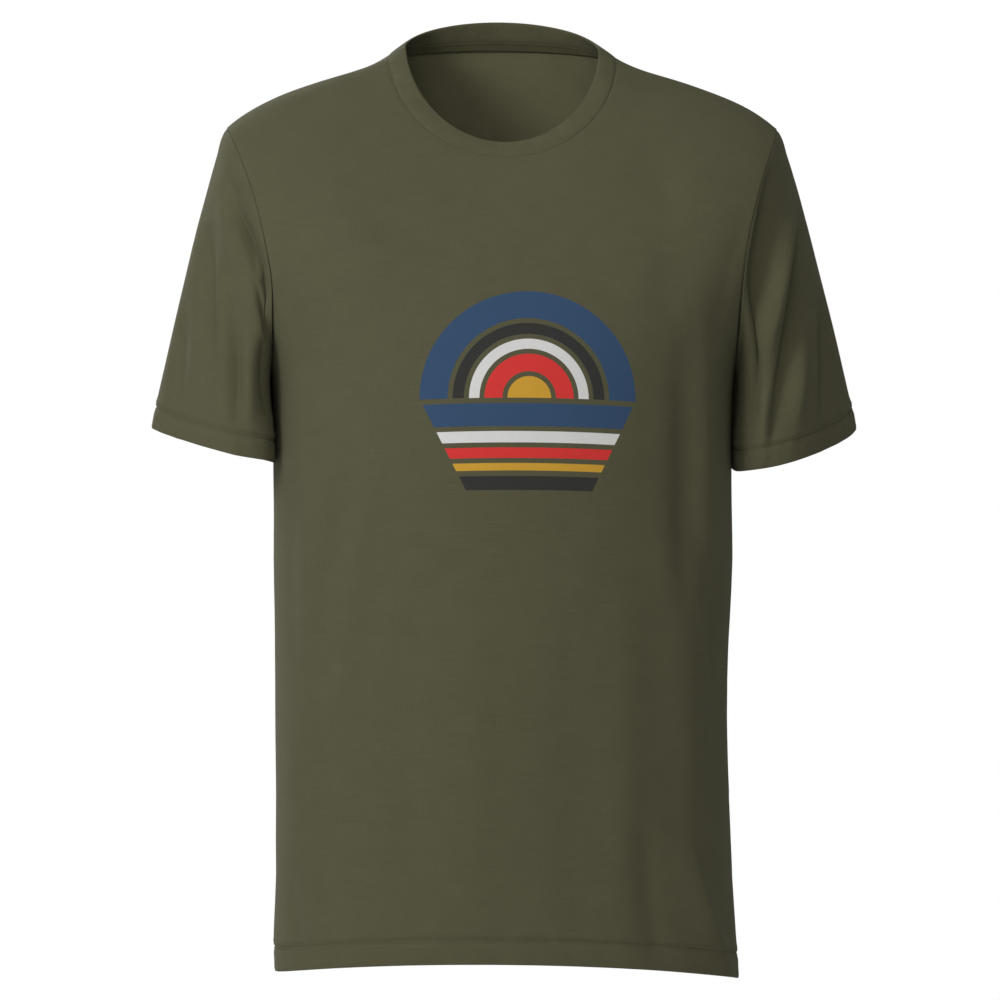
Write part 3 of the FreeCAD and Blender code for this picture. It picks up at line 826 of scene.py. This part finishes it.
def rib(nodes):
    """One by one rib: upright ridges round the collar, with painted shade in the grooves between them."""
    across, up = nodes.flat()
    height = nodes.times(nodes.wave(up, COURSE), 0.18, nodes.wave(across, RIB_PITCH))
    # the rib's height darkens the colour in its grooves: painted shade
    shade = nodes.times(height, 0.06, nodes.noise(70.0, 4.0))
    return nodes.finish(nodes.tone(OLIVE, shade, 0.80, 1.2), nodes.bump(height, 0.00022, 0.6), 0.95)


def tape(nodes):
    """Twill tape: fine slanting ridges, with painted shade between them."""
    slant = nodes.wave(nodes.math("ADD", *nodes.flat()), 0.0011)
    # the ridges' height tints the colour: painted shade between the ridges
    shade = nodes.times(slant, 0.08, nodes.noise(90.0))
    return nodes.finish(nodes.tone((84, 82, 59), shade, 0.8, 1.2), nodes.bump(slant, 0.0002, 0.7))


def overlock(nodes):
    """Overlocked seam allowance: loops of thread across a strip of jersey."""
    across, up = nodes.flat()
    loops = nodes.times(nodes.wave(nodes.times(across, 0.35, up), 0.0024), 0.5, 0.5)
    over = nodes.math("POWER", loops, 3.0)
    shade = nodes.times(over, 0.25, nodes.noise(120.0))
    knit = nodes.bump(knit_height(nodes), 0.0001, 0.4)
    return nodes.finish(nodes.tone((86, 84, 61), shade, 0.75, 1.2), nodes.bump(over, 0.0003, 0.8, knit))


def thread(nodes):
    """Sewing thread with its twist, painted lighter on the twist's ridges and darker between them."""
    twist = nodes.wave(nodes.math("ADD", *nodes.flat()), 0.0004)
    # the twist's height tints the colour: painted highlight on the ridges, painted shade between
    shade = nodes.times(twist, 0.1, nodes.noise(300.0, 2.0))
    return nodes.finish(nodes.tone((106, 103, 78), shade, 0.8, 1.25), nodes.bump(twist, 0.0001, 0.6), 0.7, 0.05)


# The chest print: arches over slanted bars, in metres from the middle of their common base line

NAVY, WHITE, RED, GOLD, CHARCOAL = (54, 80, 112), (226, 226, 224), (222, 58, 57), (212, 163, 57), (52, 52, 52)
ARCHES = [(0.000, 0.017, GOLD), (0.021, 0.035, RED), (0.039, 0.047, WHITE), (0.051, 0.060, CHARCOAL),
          (0.064, 0.086, NAVY)]
BARS = [(0.004, 0.022, NAVY), (0.026, 0.035, WHITE), (0.039, 0.047, RED), (0.051, 0.057, GOLD),
        (0.061, 0.072, CHARCOAL)]
PRINT_REACH, BAR_SLANT = 0.086, 0.5
# the distance that a colour ramp spans
RAMP_RUN = 0.1


def bands_of(nodes, distance, bands):
    """Colour and cover of bands that follow one another over a distance."""
    ramp = nodes.add("ValToRGB", {0: nodes.math("DIVIDE", distance, RAMP_RUN)})
    ramp.color_ramp.interpolation = "CONSTANT"
    elements = ramp.color_ramp.elements
    elements.remove(elements[-1])
    elements[0].position = 0
    elements[0].color = (0, 0, 0, 0)
    for start, end, colour in bands:
        first = elements[0] if start == 0 else elements.new(start / RAMP_RUN)
        first.color = srgb(*colour)
        elements.new(end / RAMP_RUN).color = (0, 0, 0, 0)
    return ramp.outputs["Color"], ramp.outputs["Alpha"]


def mixed_colour(nodes, share, first, second):
    return nodes.add("Mix", {0: share, 6: first, 7: second}, data_type="RGBA").outputs[2]


def printed(nodes, cloth, centre, outside):
    """Soft print ink over the cloth; the knit shows through it."""
    x, y = (nodes.math("SUBTRACT", place, middle) for place, middle in zip(nodes.flat(), centre))
    distance = nodes.math("SQRT", nodes.times(x, x, nodes.times(y, y)))
    arch, arch_cover = bands_of(nodes, distance, ARCHES)
    depth = nodes.times(y, -1.0)
    bar, bar_cover = bands_of(nodes, depth, BARS)
    within = nodes.math("LESS_THAN", nodes.math("ABSOLUTE", x), nodes.times(depth, -BAR_SLANT, PRINT_REACH))
    above = nodes.math("GREATER_THAN", y, 0.0)
    below = nodes.math("SUBTRACT", 1.0, above)
    cover = nodes.times(above, arch_cover, nodes.times(nodes.times(below, bar_cover), within))
    worn = nodes.ranged(nodes.noise(1500.0), from_min=0.25, from_max=0.5, to_min=0.86, to_max=0.98)
    cover = nodes.times(nodes.times(cover, worn), outside)
    return mixed_colour(nodes, cover, cloth, mixed_colour(nodes, above, bar, arch))


def material(name, make, **options):
    return make(Nodes(bpy.data.materials.new(name)), **options)


MATERIALS = {name: material(name, make) for name, make in (
    ("body_jersey", jersey), ("sleeve_jersey", jersey), ("rib_knit", rib), ("tape", tape), ("seam", overlock),
    ("thread", thread))}
MATERIALS["hem_jersey"] = material("hem_jersey", jersey, colour=(88, 86, 62))


def dress(piece, slot, *nodes, coat=None):
    """Gives a piece its material and its place in the part."""
    piece.data.materials.append(coat or MATERIALS[slot])
    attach(piece, "root")
    if nodes:
        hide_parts(*nodes)
    return piece


# Body

front = panel(FRONT, FRONT_FOLDS, 0)
back = panel(BACK, BACK_FOLDS, 4)
join_sides(front, back)
PANELS = {FRONT: front, BACK: back}


def panel_piece(name, grid, coat=None):
    piece = sheet_mesh(name + "_cloth", grid["points"], grid["normals"], grid["flat"], JERSEY)
    return dress(piece, "body_jersey", name, coat=coat)


# Where the print's base line lies on the chest, seen from the front
PRINT_PLACE = (0.0144, -0.274)
to_print = np.hypot(front["points"][..., 0] - PRINT_PLACE[0], front["points"][..., 2] - PRINT_PLACE[1])
print_point = np.unravel_index(to_print.argmin(), to_print.shape)
missing = front["points"][print_point][[0, 2]] - PRINT_PLACE
print_centre = front["flat"][print_point] + missing * (1, -1)
front_piece = panel_piece("front_panel", front, material("printed_jersey", jersey, print_centre=print_centre))
back_piece = panel_piece("back_panel", back)


# Sleeves

HALF_SLEEVE_COLUMNS, SLEEVE_SAMPLES = 96, 3001
SLEEVE_RUN = 0.245
SLEEVE_ROWS = stops(SLEEVE_RUN, EDGE_STOPS, [d * SLEEVE_HEM_WIDTH / HEM_WIDTH for d in HEM_STOPS],
                    SLEEVE_CELL) / SLEEVE_RUN
# columns of a panel that lie along the body's side, and the share of the opening that follows it
SIDE_COLUMNS, BESIDE_SHARE = 60, 0.35


def armhole_edge(facing, column):
    """The panel's armhole edge from the underarm up to the shoulder, and each point's share of the arc."""
    line = PANELS[facing]["points"][UNDERARM_ROW:TIP_ROW + 1, column]
    turn = np.arctan2(line[:, 2] - ARC_CENTRE[1], ARC_CENTRE[0] - np.abs(line[:, 0]))
    return line, np.maximum.accumulate((turn - turn[0]) / (turn[-1] - turn[0]))


# How near the outer fold line the folds fade, and the swelling below the armhole seam: height,
# distance from the seam and reach
FOLD_LINE_CALM = 0.012
HEAD_SWELL = (0.0008, 0.010, 0.008)
# How much the opening narrows towards its outer fold, and how far that fold hangs back
SLEEVE_NARROWING = 0.6
SLEEVE_HANG_BACK = 0.014
# How square the opening is at its inner and outer end: a low power of the sine is square
INNER_SQUARENESS, OUTER_SQUARENESS = {FRONT: 0.75, BACK: 0.22}, 1.0
# By sleeve: how far the opening's outer and inner end move (out, up) and how far its front dips
SLEEVE_SETS = {
    "right": ((0.0005, 0.0), (-0.0038, 0.0), 0.0045),
    "left": ((0.0060, 0.0), (-0.0038, -0.005), 0.010),
}


def beside_body(side, y, z):
    """How far out the body's side reaches at y and z, below the underarm."""
    reach = np.zeros(np.broadcast(y, z).shape)
    for facing in (FRONT, BACK):
        points = PANELS[facing]["points"][:UNDERARM_ROW + 1]
        points = points[:, ::side][:, :SIDE_COLUMNS]
        x_at, y_at = (np.array([np.interp(z, column[:, 2], column[:, k]) for column in points.swapaxes(0, 1)])
                      for k in (0, 1))
        for c in range(1, SIDE_COLUMNS):
            before, after = facing * y_at[c - 1] * (c > 1), facing * y_at[c]
            share = (facing * y - before) / np.maximum(after - before, 1e-9)
            here = (share >= 0) & (share < 1)
            reach = np.where(here, side * (x_at[c - 1] + (x_at[c] - x_at[c - 1]) * share), reach)
    return reach


def opening_line(side, outward_share, facing):
    """Half the sleeve's opening, from its inner end round the front or back to its outer end."""
    outer, inner, dip = SLEEVE_SETS["left" if side > 0 else "right"]
    half_opening = SLEEVE_OPENING_WIDTH / 2
    outward = np.array((math.cos(SLEEVE_TILT), 0, math.sin(SLEEVE_TILT)))
    outer_x = ARMPIT[0] + SLEEVE_CLEARANCE + 2 * half_opening * outward[0]
    fall = math.sqrt(SLEEVE_LENGTH ** 2 - (outer_x - TIP[0]) ** 2)
    centre = np.array((outer_x, 0, TIP[2] - fall)) - outward * half_opening
    sine = 2 * np.sqrt(outward_share * (1 - outward_share))
    # the opening is fullest near the body and narrows to its outer fold, which hangs back
    inner_power = INNER_SQUARENESS[facing]
    power = inner_power + (OUTER_SQUARENESS - inner_power) * outward_share
    full = sine ** power * (1 - SLEEVE_NARROWING * outward_share)
    line = centre + (2 * outward_share - 1)[:, None] * outward * half_opening
    line[:, 1] = SLEEVE_HANG_BACK * outward_share ** 2 + facing * full / full.max() * SLEEVE_OPENING_DEPTH / 2
    for k, axis in enumerate((0, 2)):
        line[:, axis] += outward_share * outer[k] + (1 - outward_share) * inner[k]
    line[:, 2] += facing * dip * sine
    # near the body the opening follows its side
    beside = beside_body(side, line[:, 1], line[:, 2]) - beside_body(side, 0 * line[:, 1], line[:, 2])
    line[:, 0] += beside * (1 - smooth(outward_share / BESIDE_SHARE))
    return line * (side, 1, 1)


def sleeve_lines(side):
    """The sleeve's upper edge and opening as matching closed lines, from the underarm up the front."""
    column = 0 if side > 0 else -1
    # finest at the underarm
    outward_share = np.sin(math.pi / 2 * np.linspace(0, 1, SLEEVE_SAMPLES) ** 3) ** 2
    halves = []
    for facing in (FRONT, BACK):
        edge, share = armhole_edge(facing, column)
        upper = at_lengths(outward_share, share, edge)
        lower = opening_line(side, outward_share, facing)
        along = lengths_along(upper, 0) + lengths_along(lower, 0)
        wanted = np.linspace(0, along[-1], HALF_SLEEVE_COLUMNS + 1)
        halves.append([at_lengths(wanted, along, line) for line in (upper, lower)])
    closed = []
    for front_half, back_half in zip(*halves):
        for end in (0, -1):
            front_half[end] = (front_half[end] + back_half[end]) / 2
        closed.append(np.concatenate([front_half, back_half[::-1][1:-1]]))
    return closed


def sleeve_grid(side, seed):
    """The sleeve on one side as a closed grid: rows down the sleeve, columns round it."""
    name = "left" if side > 0 else "right"
    start, hem = sleeve_lines(side)
    start = start + (side * SEAM_GAP, 0, 0)
    down = SLEEVE_ROWS[:, None, None]
    points = start + (hem - start) * down
    points[..., 0] = start[:, 0] + (hem[:, 0] - start[:, 0]) * down[..., 0] ** SLEEVE_ROUNDNESS
    axis = points.mean(axis=1, keepdims=True)
    out = wrapped_normals(points, axis)
    run = lengths_along(points, 0)
    up = run[-1] - run
    shift = np.where(points[..., 1] < 0, fold_heights(points, SLEEVE_FOLDS[name, FRONT]),
                     fold_heights(points, SLEEVE_FOLDS[name, BACK]))
    # folds die out towards the outer fold line, where front and back meet
    shift *= np.clip(np.abs(points[..., 1]) / FOLD_LINE_CALM, 0, 1)
    shift = (shift + ripples(points, SLEEVE_RIPPLES, seed)) * smooth(run / ARMHOLE_CALM)
    swell, place, reach = HEAD_SWELL
    shift += swell * np.exp(-((run - place) / reach) ** 2) - edge_roll(run, ARMHOLE_ROLL)
    shift += hem_relief("sleeve", points, up, seed)
    points = points + out * shift[..., None]
    # the inner side keeps clear of the body
    low = points[..., 2] < ARMPIT[2]
    clear = np.where(low, beside_body(side, points[..., 1], points[..., 2]) + SLEEVE_CLEARANCE, 0)
    points[..., 0] = side * np.maximum(side * points[..., 0], clear)
    out = wrapped_normals(points, axis)
    round_lengths = lengths_along(np.concatenate([points, points[:, :1]], axis=1), 1)[:, :-1]
    flat = np.stack([round_lengths, -run], -1)
    return {"points": points, "normals": out, "flat": flat, "up": up}


def wrapped_normals(points, axis):
    """Normals of a grid that closes round."""
    padded = np.concatenate([points[:, -2:], points, points[:, :2]], axis=1)
    return normals(padded, axis)[:, 2:-2]


SLEEVES, SLEEVE_PIECES = {}, {}
for side, name in ((1, "left"), (-1, "right")):
    grid = sleeve_grid(side, 20 + side)
    SLEEVES[name] = grid
    piece = sheet_mesh("sleeve_%s_cloth" % name, grid["points"], grid["normals"], grid["flat"], JERSEY, wrap=True)
    SLEEVE_PIECES[name] = dress(piece, "sleeve_jersey", "sleeve_" + name)


# Collar: a double rib ring from its seam up to its fold

COLLAR_COLUMNS = 220
# (share of the height, depth under the outer side)
COLLAR_PROFILE = [
    (-0.05, 0.0011), (0.00, 0.0003), (0.05, -0.0001), (0.15, -0.0004), (0.35, -0.0005), (0.60, -0.0004),
    (0.80, -0.0002), (0.92, 0.0001), (0.98, 0.0004), (1.00, 0.0010), (0.98, 0.0016), (0.92, 0.0020),
    (0.75, 0.0022), (0.50, 0.0022), (0.25, 0.0022), (0.08, 0.0021), (0.00, 0.0018), (-0.04, 0.0015),
]


def collar_rows(facing):
    """Poles of the rib's seam and fold."""
    def rise(lean):
        return math.sqrt(COLLAR_WIDTH ** 2 - lean ** 2)

    lean = COLLAR_LEAN_FRONT if facing == FRONT else COLLAR_LEAN_BACK
    depth, height = MIDDLE_LINES[facing][-1]
    shape = (facing, NECK_SLOPE[facing], NECK_FULLNESS[facing])
    low = half_row(SIDE_LINE[-1], (depth, height), *shape)
    side = (NECK_HALF - COLLAR_SIDE_LEAN, rise(COLLAR_SIDE_LEAN))
    return low, half_row(side, (depth - lean, height + rise(lean)), *shape)


def collar_piece():
    u = np.linspace(0, 1, COLLAR_COLUMNS + 1)
    lows, highs = [], []
    for facing, places in ((FRONT, u[:-1]), (BACK, u[::-1][:-1])):
        low, high = collar_rows(facing)
        weights = round_weights(places)
        lows.append(weights @ low)
        highs.append(weights @ high)
    low, high = np.concatenate(lows), np.concatenate(highs)
    run = np.roll(low, -1, axis=0) - np.roll(low, 1, axis=0)
    inward = unit(np.cross(run, high - low))
    inward *= np.sign(np.sum(inward * (low.mean(axis=0) - low) * (1, 1, 0), axis=1, keepdims=True))
    points = np.array([low + (high - low) * share + inward * depth for share, depth in COLLAR_PROFILE])
    around = lengths_along(np.concatenate([low, low[:1]]), 0)
    around = around[:-1] * round(around[-1] / RIB_PITCH) * RIB_PITCH / around[-1]
    up = lengths_along(np.array(COLLAR_PROFILE) * (COLLAR_WIDTH, 1), 0)
    flat = np.stack(np.broadcast_arrays(around[None, :], up[:, None]), -1)
    count, columns = points.shape[:2]
    top = np.arange(columns)
    bottom = top + (count - 1) * columns
    closing = np.stack([bottom, np.roll(bottom, -1), np.roll(top, -1), top], -1)
    faces = np.concatenate([grid_faces(count, columns, 0, wrap=True), closing])
    piece = add_mesh("neck_rib_cloth", points.reshape(-1, 3), faces, flat.reshape(-1, 2))
    return dress(piece, "rib_knit", "neck_rib")


collar = collar_piece()


# Strips inside the cloth: turn-ups, seam allowances and neck tape

# How far the hem's turn-up goes past the stitches, and how much lower the neck strips lie
HEM_PAST_STITCHES = 0.0009
NECK_STRIP_DEPTH, NECK_STRIP_PAST = JERSEY + 0.0004, 0.002
# Points across a seam allowance, and where the armhole's starts
STRIP_POINTS, ARMHOLE_STRIP_START = 5, 0.0005


def under(grid, rows, depth=LAYER_DEPTH):
    """Rows of a grid, moved in under the cloth."""
    return grid["points"][rows] - grid["normals"][rows] * depth


def strip_piece(node, points, out, slot, wrap=False):
    flat = np.stack([lengths_along(points, 1), lengths_along(points, 0)], -1)
    return dress(sheet_mesh(node + "_cloth", points, out, flat, LAYER, wrap), slot, node)


def body_hem():
    up = front["up"]
    rows = np.flatnonzero(up[:, up.shape[1] // 2] < HEM_WIDTH + HEM_PAST_STITCHES)
    points = np.concatenate([under(front, rows), under(back, rows)[:, ::-1]], axis=1)
    out = np.concatenate([front["normals"][rows], back["normals"][rows][:, ::-1]], axis=1)
    # the two panels' shared edges are one column each
    keep = np.ones(points.shape[1], bool)
    keep[[up.shape[1], -1]] = False
    return strip_piece("body_hem", points[:, keep], out[:, keep], "hem_jersey", wrap=True)


def sleeve_hem(name):
    grid = SLEEVES[name]
    rows = np.flatnonzero(grid["up"].mean(axis=1) < SLEEVE_HEM_WIDTH + HEM_PAST_STITCHES)
    return strip_piece("sleeve_hem_" + name, under(grid, rows), grid["normals"][rows], "hem_jersey", wrap=True)


def beside_edge(facing, rows, column, distances):
    """Points under a panel at distances in from one of its edges, and the normals there."""
    grid = PANELS[facing]
    order = slice(None, None, 1 if column == 0 else -1)
    points, out = under(grid, rows)[:, order], grid["normals"][rows][:, order]
    along = lengths_along(points, 1)
    return np.array([[at_lengths(distances, *line) for line in zip(along, values)] for values in (points, out)])


def edge_strip(node, rows, column):
    """A seam allowance along the panels' shared edge."""
    distances = np.linspace(0, SEAM_WIDTH / 2, STRIP_POINTS)
    before, after = (beside_edge(facing, rows, column, distances) for facing in (FRONT, BACK))
    return strip_piece(node, *np.concatenate([before[:, :, ::-1], after[:, :, 1:]], axis=2), "seam")


def ring_strip(node, column):
    """The allowance round an armhole: up the front's edge and down the back's."""
    rows = np.arange(UNDERARM_ROW + 1, TIP_ROW)
    distances = np.linspace(ARMHOLE_STRIP_START, SEAM_WIDTH, STRIP_POINTS)
    up, down = (beside_edge(facing, rows, column, distances) for facing in (FRONT, BACK))
    points, out = np.concatenate([up, down[:, ::-1]], axis=1).transpose(0, 2, 1, 3)
    return strip_piece(node, points, unit(out), "seam", wrap=True)


def neck_strip(node, facing, slot):
    """A strip inside the collar seam of one panel."""
    grid = PANELS[facing]
    rows = np.flatnonzero((grid["up"][-1] - grid["up"]).mean(axis=1) < TAPE_WIDTH + NECK_STRIP_PAST)
    return strip_piece(node, under(grid, rows, NECK_STRIP_DEPTH), grid["normals"][rows], slot)


# Rows of the side seams, from the hem's stitches to the underarm, and of the shoulder seams, which
# stop short of the shoulder's tip and the collar; the margins are places up the body
UNDERARM_MARGIN, TIP_MARGIN, COLLAR_MARGIN = 0.05, 0.08, 0.55
below_arm = np.flatnonzero((front["up"][:, 0] > HEM_WIDTH + 0.0005)
                           & (V[FRONT] < UNDERARM_PLACE - UNDERARM_MARGIN))
over_shoulder = np.flatnonzero((V[FRONT] > TIP_PLACE + TIP_MARGIN) & (V[FRONT] < TOP - COLLAR_MARGIN))
front_trim = [body_hem(), neck_strip("front_neck_seam", FRONT, "seam"), collar]
back_trim = [neck_strip("neck_tape", BACK, "tape")]
sleeve_trim = {}
for name, column in (("left", 0), ("right", -1)):
    back_trim += [edge_strip("side_seam_" + name, below_arm, column),
                  edge_strip("shoulder_seam_" + name, over_shoulder, column)]
    sleeve_trim[name] = [sleeve_hem(name), ring_strip("armhole_seam_" + name, column)]


# Stitches: twin needle lines on the hems

def line_at(grid, height):
    """Points and normals round a grid at a height above its hem."""
    order = slice(None, None, 1 if grid["up"][-1, 0] > grid["up"][0, 0] else -1)
    up = grid["up"][order]
    return [np.array([[np.interp(height, up[:, c], values[order][:, c, k]) for k in range(3)]
                      for c in range(up.shape[1])]) for values in (grid["points"], grid["normals"])]


def body_line(height):
    lines = zip(line_at(front, height), line_at(back, height))
    return [np.concatenate([in_front[1:], behind[::-1][1:]]) for in_front, behind in lines]


def stitches(name, line, hem_width):
    """Twin needle lines where line gives the points at a height."""
    piece = stitch_mesh(name, [line(hem_width + shift) for shift in (-TWIN_GAP / 2, TWIN_GAP / 2)])
    return dress(piece, "hem_jersey", coat=MATERIALS["thread"])


front_trim.append(stitches("body_hem_stitches", body_line, HEM_WIDTH))
for name, grid in SLEEVES.items():
    sleeve_trim[name].append(stitches("sleeve_hem_%s_stitches" % name, lambda height: line_at(grid, height),
                                      SLEEVE_HEM_WIDTH))


# Stage, light and camera

AMBIENT = 0.16
FLOOR_HEIGHT, FLOOR_RADIUS = -1.15, 2.6
FLOOR_TURNS, FLOOR_RINGS = 96, 24


def world():
    """White behind the shirt, soft light from all round."""
    nodes = Nodes(bpy.data.worlds.new("studio"))
    nodes.tree.nodes.clear()
    path = nodes.add("LightPath").outputs
    seen = path["Is Camera Ray"]
    for other in ("Is Glossy Ray", "Is Transmission Ray"):
        seen = nodes.math("MAXIMUM", seen, path[other])
    strength = nodes.ranged(seen, to_min=AMBIENT, to_max=1.0)
    background = nodes.add("Background", {"Color": (1, 1, 1, 1), "Strength": strength}).outputs[0]
    nodes.add("OutputWorld", {0: background})
    bpy.context.scene.world = nodes.owner


def floor():
    """A pale round floor that fades to white at its rim."""
    radii = FLOOR_RADIUS * np.linspace(1e-5, 1, FLOOR_RINGS)
    angles = np.linspace(0, 2 * math.pi, FLOOR_TURNS, endpoint=False)
    points = np.stack([np.outer(radii, np.cos(angles)), np.outer(radii, np.sin(angles)),
                       np.full((FLOOR_RINGS, FLOOR_TURNS), FLOOR_HEIGHT)], -1).reshape(-1, 3)
    piece = add_mesh("floor", points, grid_faces(FLOOR_RINGS, FLOOR_TURNS, 0, True, True), points[:, :2])
    nodes = Nodes(bpy.data.materials.new("floor"))
    spot = nodes.add("VectorMath", {0: nodes.place()}, operation="LENGTH").outputs["Value"]
    rim = nodes.ranged(spot, from_min=1.3, from_max=2.5)
    for key, value in {"Base Color": (0.9, 0.9, 0.9, 1), "Roughness": 0.9, "Specular IOR Level": 0.1}.items():
        nodes.set(nodes.shader, key, value)
    share = nodes.times(rim, nodes.add("LightPath").outputs["Is Camera Ray"])
    glow = nodes.add("Emission", {"Color": (1, 1, 1, 1), "Strength": 1.0})
    mix = nodes.add("MixShader", {0: share, 1: nodes.shader.outputs[0], 2: glow.outputs[0]})
    nodes.set(nodes.tree.nodes["Material Output"], 0, mix.outputs[0])
    piece.data.materials.append(nodes.owner)


def put(name, data, place, direction):
    """An object at a place that looks along a direction."""
    thing = bpy.data.objects.new(name, data)
    thing.location = place
    thing.rotation_euler = direction.to_track_quat("-Z", "Y").to_euler()
    bpy.context.collection.objects.link(thing)
    return thing


def softbox(name, place, target_height, size, power):
    lamp = bpy.data.lights.new(name, "AREA")
    lamp.shape = "DISK"
    lamp.size = size
    lamp.energy = power
    put(name, lamp, place, Vector((0, 0, target_height)) - Vector(place))


# The photograph is 1000 pixels wide and 0.8 mm of the shirt falls on each
FRAME_WIDTH, DISTANCE, SENSOR = 0.8, 6.0, 36
AIM = Vector((-0.0016, 0.0, -0.354))
AZIMUTH = math.radians(-3)


def camera():
    data = bpy.data.cameras.new("camera")
    data.sensor_width = SENSOR
    data.lens = SENSOR * DISTANCE / FRAME_WIDTH
    back_off = Vector((math.sin(AZIMUTH), -math.cos(AZIMUTH), 0))
    bpy.context.scene.camera = put("camera", data, AIM + back_off * DISTANCE, -back_off)


world()
floor()
softbox("key", (-1.55, -1.5, 0.62), -0.35, 0.9, 27)
softbox("fill", (-0.3, -3.0, 0.3), -0.35, 1.2, 13)
softbox("top", (0.1, -1.1, 1.5), -0.1, 0.7, 7)
softbox("back", (-1.3, 2.4, 1.1), -0.3, 0.9, 44)
camera()

bpy.context.scene.view_settings.view_transform = "Standard"
